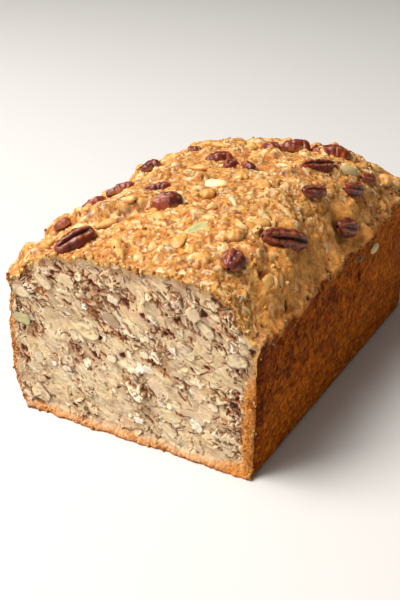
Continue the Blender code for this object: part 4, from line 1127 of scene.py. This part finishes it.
def pecanSurface(size, stream):
    # rings along the half: a pointed oval with a flatter underside, a groove along it and uneven folds across
    length, width, height = size
    turn, around = ringAngles(pecans, math.pi / 2)
    seed = int(stream.integers(1, 9000))
    side, lift = np.cos(around), np.sin(around)
    forward = -0.5 * length * np.cos(turn)
    drift = pecans["grooveDrift"] * (softNoise(forward + 60, 0 * forward, 5.0, seed) - 0.5)
    top = 1 - np.sin(around + drift)
    cleft = 1.0 if length > pecans["long"] else 0.25 if length < pecans["short"] else 0.5  # less on short pieces
    groove = cleft * np.exp(-((top / pecans["grooveWidth"]) ** 2)) * ease(0.4, 0.85, np.sin(turn))
    lips = np.exp(-(((top - 0.10) / 0.06) ** 2)) * ease(0.3, 0.7, np.sin(turn))
    reach = 0.5 * np.sin(turn) ** pecans["tipPower"] * (1 - pecans["taper"] * np.cos(turn))
    lean = forward + pecans["foldLean"] * np.abs(side) * np.where(forward > 0, 1, -1) * ease(0, 4, np.abs(forward))
    swing = 1.6 * cloud(forward + 40, 3 * side + 2 * lift + 40, 3.0, seed + 3, 2)
    folds = softNoise(lean + swing + 80, 2.0 * side + 1.6 * lift + 80, 2.5, seed + 5)
    ridges = softNoise(0.4 * lean + 20, 0.55 * width * side + 1.5 * lift + swing + 20, 1.5, seed + 6)
    crease, ridge = (1 - np.abs(2 * field - 1) for field in (folds, ridges))
    crease = ease(0.3, 1.0, 0.5 * crease + 0.55 * ridge)
    fine = cloud(forward + 90, 4 * side + 3 * lift + 90, 1.6, seed + 7, 3)
    upper = ease(-0.3, 0.4, lift)
    fold = pecans["wrinkle"] * (0.55 - crease) + pecans["fineWrinkle"] * fine
    fold = fold * (0.3 + 0.7 * upper) * np.sin(turn) ** 0.9
    fold = fold * (1 - 0.8 * groove)
    share = 1 - pecans["groove"] * groove + pecans["lips"] * lips
    beside = -side * (width * reach * share + fold)
    up = lift * (height * reach * share + fold)
    up = up * np.where(up < 0, pecans["underside"], pecans["back"])
    points = np.stack([forward + 0 * around, beside, up], axis=2)
    warm = ease(0.0, 0.5, cloud(forward + 20, 3 * side + 3 * lift + 20, 4.0, seed + 9, 3))
    # lighter on the lower flanks, partly paler worn skin and partly painted light
    flank = ease(0.55, 0.1, lift + 0.5 * fine) * ease(-0.4, 0.0, lift)
    # darker in the creases, partly the skin's own darker furrows and partly painted shade; the groove is painted with
    # shade
    colour = coated(blend(pecans["skin"], pecans["dark"], ease(0.35, 1.0, crease + 0.25 * fine)),
                    (pecans["warm"], warm * 0.6), (pecans["light"], 0.65 * lips * ease(-0.3, 0.4, fine + 0.2)),
                    # painted reflection of the sky on the upper side
                    (pecans["skyReflection"], 0.4 * ease(0.2, 0.9, lift) * ease(-0.3, 0.4, fine)),
                    (pecans["light"], 0.4 * flank), (tone(pecans["dark"]) * 0.6, groove))
    return points, colour


def ringAngles(form, first=0.0):  # angles from tip to tip and round each ring
    turn = np.linspace(0, math.pi, form["rings"] + 2)[1:-1, None]
    return turn, (np.linspace(0, 2 * math.pi, form["around"], endpoint=False) + first)[None]


def closeEnds(points, colour):  # the grid of rings with a fan of faces to a point at each end
    rings, count = points.shape[:2]
    tips = np.stack([points[0].mean(axis=0), points[-1].mean(axis=0)])
    flat = np.concatenate([points.reshape(-1, 3), tips])
    tints = np.concatenate([colour.reshape(-1, 3), colour[[0, -1]].mean(axis=1)])
    here = np.arange(count)
    following = (here + 1) % count
    first, last = np.full(count, rings * count), np.full(count, rings * count + 1)
    row = (rings - 1) * count
    fans = [np.stack(corners, axis=1) for corners in ((first, here, following, first),
                                                      (last, row + following, row + here, last))]
    return flat, tints, np.concatenate([gridFaces(rings, count, wrap=True), *fans])


def makePecans():  # each half is set on the crust's own seat, with its nose up and its roll
    for number, (across, along, heading, *size, lift, pitch, roll) in enumerate(pecanPlaces, start=1):
        stream = np.random.default_rng(pecans["seed"] + number)
        points, colour = pecanSurface(size, stream)
        flat, tints, faces = closeEnds(points, colour)
        seat, normal = crustSeat(across, along)
        placed = flat @ seatFrame(normal, heading, pitch, roll).T + seat + normal * lift
        piece = makePiece(f"pecan_half_{number:02d}", placed, faces, pecanFinish, tints)
        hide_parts(f"pecan_{number:02d}")


makePecans()
print("pecans made:", len(pecanPlaces))


# Seeds, kernels, flakes, beads and nut pieces: the solid's own places and sizes, each kind one piece.
seeds = {
    # for each kind: length, width and thickness, then its form's power, taper and roughness
    "kinds": {"pumpkin": (13.0, 7.0, 3.4), "kernel": (9.0, 4.6, 3.4), "flake": (9.0, 6.0, 2.2),
              "bead": (4.4, 4.0, 3.8), "chunk": (6.4, 5.2, 4.6)},
    "forms": {"pumpkin": (0.8, 0.22, 0.02), "kernel": (0.75, 0.2, 0.05), "flake": (0.6, 0.05, 0.10),
              "bead": (0.8, 0.0, 0.3), "chunk": (0.6, 0.05, 0.34)},
    "names": {"pumpkin": "pumpkin_seeds", "kernel": "kernels", "flake": "flakes", "bead": "dough_beads",
              "chunk": "nut_chunks"},
    # for each kind: body, paler part and darker part
    "tones": {"pumpkin": ("#A9A768", "#CFC590", "#82844C"), "kernel": ("#D8A458", "#E6C080", "#B47A3A"),
              "flake": ("#DAA85A", "#E8C684", "#B47834"), "bead": ("#DEB06C", "#EACB92", "#B87F3A"),
              "chunk": ("#D8A254", "#E6BE7C", "#B07232")},
    "sink": "#B06A28", "cutEdge": "#6E3E22", "rings": 15, "around": 22, "lift": -0.06,
    "crown": (("pumpkin", 16.8, 29.0, 60.0), ("pumpkin", 3.0, 66.2, 8.0), ("pumpkin", 41.5, 116.0, 66.0),
              ("kernel", -19.3, 21.6, 45.0), ("flake", -1.4, 30.4, 40.0), ("kernel", 36.2, 42.0, 40.0),
              ("chunk", 7.7, 53.5, 16.0), ("bead", 25.6, 55.5, 30.0), ("bead", 15.2, 43.1, 17.0),
              ("bead", 7.4, 12.9, 15.0), ("bead", 5.6, 5.6, 15.0), ("bead", 29.7, 24.4, 30.0),
              ("chunk", 33.0, 28.4, 35.0), ("bead", 44.0, 89.0, 50.0), ("chunk", -38.4, 9.0, 80.0),
              ("bead", -6.5, 20.4, 15.0)),
    "more": 28, "moreKinds": ("flake", "chunk", "kernel", "bead", "chunk", "flake"),
    "spacing": 9.5, "pecanClearance": 2.6,
    "cut": (("pumpkin", -15.8, 43.4, -14.0), ("chunk", 32.9, 15.6, -40.0), ("bead", 10.6, 39.5, 0.0),
            ("bead", 11.3, 47.0, 0.0), ("kernel", -3.6, 50.6, -35.0), ("kernel", -46.7, 40.4, -10.0)),
    "cutTones": {"pumpkin": ("#E8D0A0", "#F2E2BC", "#C8A26C"), "kernel": ("#DCC49C", "#E8D4B0", "#BE9A6C"),
                 "flake": ("#DEC8A0", "#EAD8B4", "#C09C70"), "bead": ("#E8D6B2", "#F4E8CC", "#C8A880"),
                 "chunk": ("#F5E9CC", "#FDF5E2", "#CDAF84")},
    "cutNames": {"pumpkin": "sliced_seed", "kernel": "sliced_kernels", "flake": "sliced_flakes",
                 "bead": "cut_beads", "chunk": "sliced_nut"},
    "moreCut": 10, "cutKinds": ("flake", "kernel", "bead"), "cutSpacing": 12.0, "cutSlant": -32.0,
    "cutSpread": 22.0, "stands": 0.8, "sliceAt": 0.2, "dust": "#C88638",
    # single seeds of another tone, by their number: on the cut, and on the crown
    "browned": {4: "#9A7A5C", 5: "#ACA470"}, "paler": {1: "#F2E4B4", 2: "#CDAE78"}, "tries": 6000,
    "crownArea": ((-50, 52), (5, 153)), "cutArea": ((-46, 50), (8, 62)), "seed": 500, "wallSeed": 590, "cutSeed": 600,
    # on the right wall, under its rim: along, up, size, heading, colour; the second, dark one is painted shade under
    # the rim, in a seed's form
    "wall": ((109.4, 50.0, 0.62, 100.0, "#E2CC92"), (94.2, 51.5, 0.38, 80.0, "#4A3A14")),
}


def spreadPlaces(places, more, spacing, draw, reach):
    # adds places one by one, each as far as spacing from the rest, and clear of the pecans where reach says so
    wanted = len(places) + more
    for _ in range(seeds["tries"]):
        if len(places) == wanted:
            break
        kind, across, along, heading = draw(len(places))
        apart = min(math.hypot(across - other[1], along - other[2]) for other in places)
        if apart > spacing and (reach is None or all(
                math.hypot(across - row[0], along - row[1]) >= 0.5 * row[3] + reach(kind) for row in pecanPlaces)):
            places.append((kind, across, along, heading))
    return places


def crownSeedPlaces():  # the named seeds, and more by the same seeded rule as for the solid loaf
    stream = np.random.default_rng(loaf["lumpSeed"] + 1)
    wide, long = seeds["crownArea"]

    def draw(number):
        kind = seeds["moreKinds"][number % len(seeds["moreKinds"])]
        return kind, stream.uniform(*wide), stream.uniform(*long), stream.uniform(0, 180)

    return spreadPlaces(list(seeds["crown"]), seeds["more"], seeds["spacing"], draw,
                        lambda kind: 0.5 * seeds["kinds"][kind][0] + seeds["pecanClearance"])


def cutSeedPlaces():  # the same for the cut, whose seeds lie along the dough
    stream = np.random.default_rng(loaf["lumpSeed"] + 2)
    wide, tall = seeds["cutArea"]

    def draw(number):
        return (seeds["cutKinds"][number % 3], stream.uniform(*wide), stream.uniform(*tall),
                seeds["cutSlant"] + stream.normal(0, seeds["cutSpread"]))

    return spreadPlaces(list(seeds["cut"]), seeds["moreCut"], seeds["cutSpacing"], draw, None)


def seedSurface(kind, tones, seed, sliced=False):
    # rings from tip to tip whose half width and height follow a sine to a power of each kind's own;
    # a sliced one is flat where the knife went through it
    length, width, thick = seeds["kinds"][kind]
    turn, around = ringAngles(seeds)
    side, lift = np.cos(around), np.sin(around)
    power, taper, rough = seeds["forms"][kind]
    reach = np.sin(turn) ** power * (1 - taper * np.cos(turn))
    forward = -0.5 * length * np.cos(turn) + 0 * around
    rough = rough + 0.16 * sliced
    uneven = 1 + rough * 2 * cloud(forward + 70, 2.2 * side + 1.6 * lift + 70, 0.42 * width, seed, 3)
    beside = -0.5 * width * reach * side * uneven
    up = 0.5 * thick * reach ** 1.2 * lift * uneven
    streak = cloud(0.35 * forward + 30, 2.5 * side + lift + 30, 0.9, seed + 5, 3)
    body, pale, deep = (tone(shade) for shade in tones)
    colour = coated(np.broadcast_to(body, (*forward.shape, 3)), (pale, ease(-0.1, 0.7, streak) * 0.7),
                    (deep, 0.5 * ease(-0.1, -0.7, streak)))
    if kind == "pumpkin":
        rim = ease(0.72, 0.9, np.abs(side)) + ease(0.25, 0.1, np.sin(turn))
        up *= 1 - 0.16 * ease(0.5, 0.7, np.abs(side)) * ease(0.95, 0.8, np.abs(side))
        colour = blend(colour, pale, 0.85 * np.clip(rim, 0, 1))
    if kind == "flake":
        crease = np.exp(-((side / 0.12) ** 2)) * ease(0.2, 0.6, np.sin(turn)) * (lift > 0)
        up += 0.35 * np.sin(0.9 * forward + seed) - 0.25 * crease
        # painted shade in the flake's crease
        colour = blend(colour, deep, 0.6 * crease)
    if sliced:
        stroke = cloud(0.5 * forward + 20, 0.6 * width * side + 20, 2.2, seed + 3, 3)
        wrinkle = cloud(0.6 * forward + 50, 1.5 * width * side + 50, 1.1, seed + 9, 3)
        colour = blend(colour, seeds["cutEdge"], 0.55 * ease(0.1, 0.03, np.abs(stroke)))
        colour = colour * (1 + 0.12 * wrinkle)[..., None]
        colour = blend(colour, seeds["cutEdge"], 0.7 * ease(0.66, 0.48, lift * np.sin(turn) ** 0.4))
        up = np.minimum(up, seeds["sliceAt"] * thick + 0.25 * wrinkle * np.sin(turn))
        return np.stack([forward, beside, up], axis=2), colour
    if kind != "pumpkin":
        dust = ease(0.0, 0.3, cloud(forward + 40, 0.5 * width * side + lift + 40, 1.5, seed + 9, 3))
        colour = blend(colour, seeds["dust"], 0.8 * dust)
        up = up + 0.12 * dust
    colour = blend(colour, seeds["sink"], 0.8 * ease(0.55, 0.1, lift * np.sin(turn) ** 0.5))
    return np.stack([forward, beside, up], axis=2), colour * (1 + 0.08 * streak)[..., None]


def crustPoint(across, along):  # a place on the fine crust above a point of the plan
    row, column = nearest((skin[:, :, 0] - across) ** 2 + (skin[:, :, 1] - along) ** 2
                          + farAway * (facing[:, :, 2] < 0.1))
    return skin[max(0, row - 2):row + 3, column - 2:column + 3].reshape(-1, 3).mean(axis=0) - origin


def wallPlace(along, up):  # row and column of the skin's right wall nearest to a place on it
    return nearest((skin[:, :, 1] - along) ** 2 + (skin[:, :, 2] - up) ** 2 + farAway * (skin[:, :, 0] < 30))


def closedSeed(kind, tones, seed, shade=None, share=0.7, sliced=False):  # a seed's closed form, of another tone
    flat, tints, faces = closeEnds(*seedSurface(kind, tones, seed, sliced))
    return flat, tints if shade is None else blend(tints, shade, share * np.ones(len(tints))), faces


def gathered(parts):  # several closed forms as one: points, colours and faces
    counts = np.cumsum([0] + [len(points) for points, _, _ in parts])
    faces = np.concatenate([face + first for (_, _, face), first in zip(parts, counts)])
    return np.concatenate([part[0] for part in parts]), np.concatenate([part[1] for part in parts]), faces


def makeSeeds():
    # seeds turned and set on the crown, the wall and the cut, then each kind gathered into one piece
    heaps = {}
    for number, (kind, across, along, heading) in enumerate(crownSeedPlaces()):
        flat, tints, faces = closedSeed(kind, seeds["tones"][kind], seeds["seed"] + number,
                                        seeds["paler"].get(number))
        normal = crustSeat(across, along)[1]
        tall = seeds["kinds"][kind][2]
        placed = flat @ seatFrame(normal, heading).T + crustPoint(across, along) + normal * seeds["lift"] * tall
        heaps.setdefault(seeds["names"][kind], []).append((placed, tints, faces))
    for along, up, size, heading, shade in seeds["wall"]:
        flat, tints, faces = closedSeed("pumpkin", seeds["tones"]["pumpkin"], seeds["wallSeed"], shade, 0.9)
        place = wallPlace(along, up)
        placed = flat * size @ seatFrame(facing[place], heading).T + skin[place] - origin
        heaps["pumpkin_seeds"].append((placed, tints, faces))
    upright = np.array([[1.0, 0, 0], [0, 0, -1.0], [0, 1.0, 0]])
    for number, (kind, across, up, slant) in enumerate(cutSeedPlaces()):
        flat, tints, faces = closedSeed(kind, seeds["cutTones"][kind], seeds["cutSeed"] + number,
                                        seeds["browned"].get(number), 0.75, sliced=True)
        turn = np.array(Matrix.Rotation(math.radians(slant), 3, "Z"))
        stand = lumpRelief(np.array([across]), np.array([up]), fields["cut"])[0]
        deep = seeds["sliceAt"] * seeds["kinds"][kind][2] - seeds["stands"]
        placed = flat @ (upright @ turn).T + np.array([across, deep - stand, up]) - origin
        heaps.setdefault(seeds["cutNames"][kind], []).append((placed, tints, faces))
    for name, parts in heaps.items():
        points, tints, faces = gathered(parts)
        piece = makePiece(name, points, faces, seedFinish, tints)
        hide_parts("loaf")


makeSeeds()
print("seeds made")


# Loose-edged grains of crust: along the outline of the cut, on the crown and on its rim.
grains = {
    "seed": 77, "rings": 4, "around": 6, "outline": 620, "crown": 460, "rim": 150, "radius": (0.22, 0.95),
    "squash": (0.65, 1.25), "rough": 0.35,
    # how far they stand out of the skin at each place, and ahead of the cut
    "outlineOut": (-1.2, 0.2), "crownOut": (-0.4, 0.1), "rimOut": (-0.1, 0.4), "forward": (-0.2, 0.5),
    "tones": ("#D08A3C", "#B96E28", "#E0A860", "#C88040", "#EDC98C", "#9A5520", "#D89848"),
}


def makeGrains():
    # balls of a few faces, squashed and roughened, set at seeded places of the fine crust
    stream = np.random.default_rng(grains["seed"])
    turn, around = ringAngles(grains)
    ball = np.stack([-np.cos(turn) + 0 * around, np.sin(turn) * np.cos(around),
                     np.sin(turn) * np.sin(around)], axis=2)
    flat, _, faces = closeEnds(ball, np.zeros_like(ball))
    crownStart, crownStop = crownColumns.start, crownColumns.stop

    def standing(rows, columns, key):  # places of the skin moved out or in along its normal
        return skin[rows, columns] + facing[rows, columns] * stream.uniform(*grains[key], (len(columns), 1))

    columns = stream.integers(0, skin.shape[1], grains["outline"])
    onTop = (columns > crownStart + 6) & (columns < crownStop - 6)
    columns = columns[~onTop | (stream.random(len(columns)) < 0.5)]
    rows = np.where(stream.random(len(columns)) < 0.6, 0, stream.integers(0, 6, len(columns)))
    edge = standing(rows, columns, "outlineOut")
    edge[:, 1] -= stream.uniform(*grains["forward"], len(columns)) * (rows == 0)

    rows = stream.integers(2, skin.shape[0] - 2, grains["crown"])
    columns = stream.integers(crownStart, crownStop, grains["crown"])
    crown = standing(rows, columns, "crownOut")
    rows = stream.integers(1, skin.shape[0] - 6, grains["rim"])
    columns = np.where(stream.random(grains["rim"]) < 0.6, crownStart, crownStop)
    columns = columns + stream.normal(0, 5, grains["rim"]).astype(int)
    rim = standing(rows, columns, "rimOut")

    middles = np.concatenate([edge, crown, rim])
    count = len(middles)
    radius = grains["radius"][0] + np.ptp(grains["radius"]) * stream.random((count, 1, 1)) ** 2
    squash = stream.uniform(*grains["squash"], (count, 1, 3))
    rough = 1 + stream.uniform(-grains["rough"], grains["rough"], (count, len(flat), 1))
    middles[:, 2] = np.maximum(middles[:, 2], radius[:, 0, 0])
    points = middles[:, None] + flat[None] * radius * squash * rough
    table = toneTable(grains["tones"])
    tints = table[stream.integers(0, len(table), count)][:, None] * stream.uniform(0.85, 1.08, (count, 1, 1))
    low = ease(52, 5, middles[:, 2])[:, None, None] * 0.3
    low = np.where((np.arange(count) >= len(edge) + len(crown))[:, None, None], 0.45, low)
    tints = np.broadcast_to(tints * (1 - low), points.shape)
    points[:, :, 2] = np.maximum(points[:, :, 2], 0)
    allFaces = (faces[None] + (np.arange(count) * len(flat))[:, None, None]).reshape(-1, 4)
    piece = makePiece("crust_grains", points - origin, allFaces, crownFinish, tints)
    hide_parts("loaf")
    return count


print("grains made:", makeGrains())


# The camera's lens, turn and height in degrees and its place, then the lamps, the sky and the floor.
view = {"lens": 62.94, "around": 29.31, "up": 27.49, "place": (193.75, -284.23, 238.28)}
light = {"key": ((-510.0, -370.0, 1020.0), 0.8, 24.4, (1.0, 0.975, 0.96)),  # place, size, power, colour
         "fill": ((-120.0, -620.0, 240.0), 0.9, 1.3, (1.0, 0.97, 0.92)), "aim": 40.0,
         "sky": 0.17, "skyTone": (1.0, 0.96, 0.9, 1.0), "floor": "#D8D6D2", "floorHalf": 3000.0}


def makeStage():  # a plain pale floor with a faint cloud in it
    finish = bpy.data.materials.new("paleFloor")
    finish.use_nodes = True
    tree = finish.node_tree
    shader = tree.nodes["Principled BSDF"]
    noise = addNode(tree, "ShaderNodeTexNoise", {"Scale": 6.0, "Detail": 2.0})
    place = addNode(tree, "ShaderNodeTexCoord")
    ramp = addNode(tree, "ShaderNodeMapRange", {"To Min": 0.97, "To Max": 1.0})
    tint = addNode(tree, "ShaderNodeVectorMath", {0: tone(light["floor"])}, operation="SCALE")
    wire(tree, (place, "Object", noise, "Vector"), (noise, "Fac", ramp, "Value"), (ramp, 0, tint, "Scale"),
         (tint, 0, shader, "Base Color"))
    shader.inputs["Roughness"].default_value = 0.9
    side = light["floorHalf"] * unit
    mesh = bpy.data.meshes.new("floor")
    mesh.from_pydata([(-side, -side, 0), (side, -side, 0), (side, side, 0), (-side, side, 0)], [], [(0, 1, 2, 3)])
    mesh.materials.append(finish)
    floor = bpy.data.objects.new("floor", mesh)
    bpy.context.scene.collection.objects.link(floor)


def addLamp(name):  # a square lamp aimed at the middle of the loaf
    place, size, power, colour = light[name]
    data = bpy.data.lights.new(name, "AREA")
    data.shape = "SQUARE"
    data.size = size
    data.energy = power
    data.color = colour
    lamp = bpy.data.objects.new(name, data)
    lamp.location = np.array(place) * unit
    aim = Vector((0, 0, light["aim"] * unit)) - lamp.location
    lamp.rotation_euler = aim.to_track_quat("-Z", "Y").to_euler()
    bpy.context.scene.collection.objects.link(lamp)


def makeCamera():  # stands at its place and looks back along its own two angles
    data = bpy.data.cameras.new("camera")
    data.lens = view["lens"]
    data.sensor_width = 36.0
    camera = bpy.data.objects.new("camera", data)
    around, up = math.radians(view["around"]), math.radians(view["up"])
    back = Vector((math.sin(around) * math.cos(up), -math.cos(around) * math.cos(up), math.sin(up)))
    camera.location = (np.array(view["place"]) - origin) * unit
    camera.rotation_euler = (-back).to_track_quat("-Z", "Y").to_euler()
    bpy.context.scene.collection.objects.link(camera)
    bpy.context.scene.camera = camera


makeStage()
addLamp("key")
addLamp("fill")
world = bpy.data.worlds.new("studio")
world.use_nodes = True
sky = world.node_tree.nodes["Background"]
sky.inputs["Color"].default_value = light["skyTone"]
sky.inputs["Strength"].default_value = light["sky"]
bpy.context.scene.world = world
bpy.context.scene.view_settings.view_transform = "Standard"
makeCamera()
print("stage, lights and camera set")
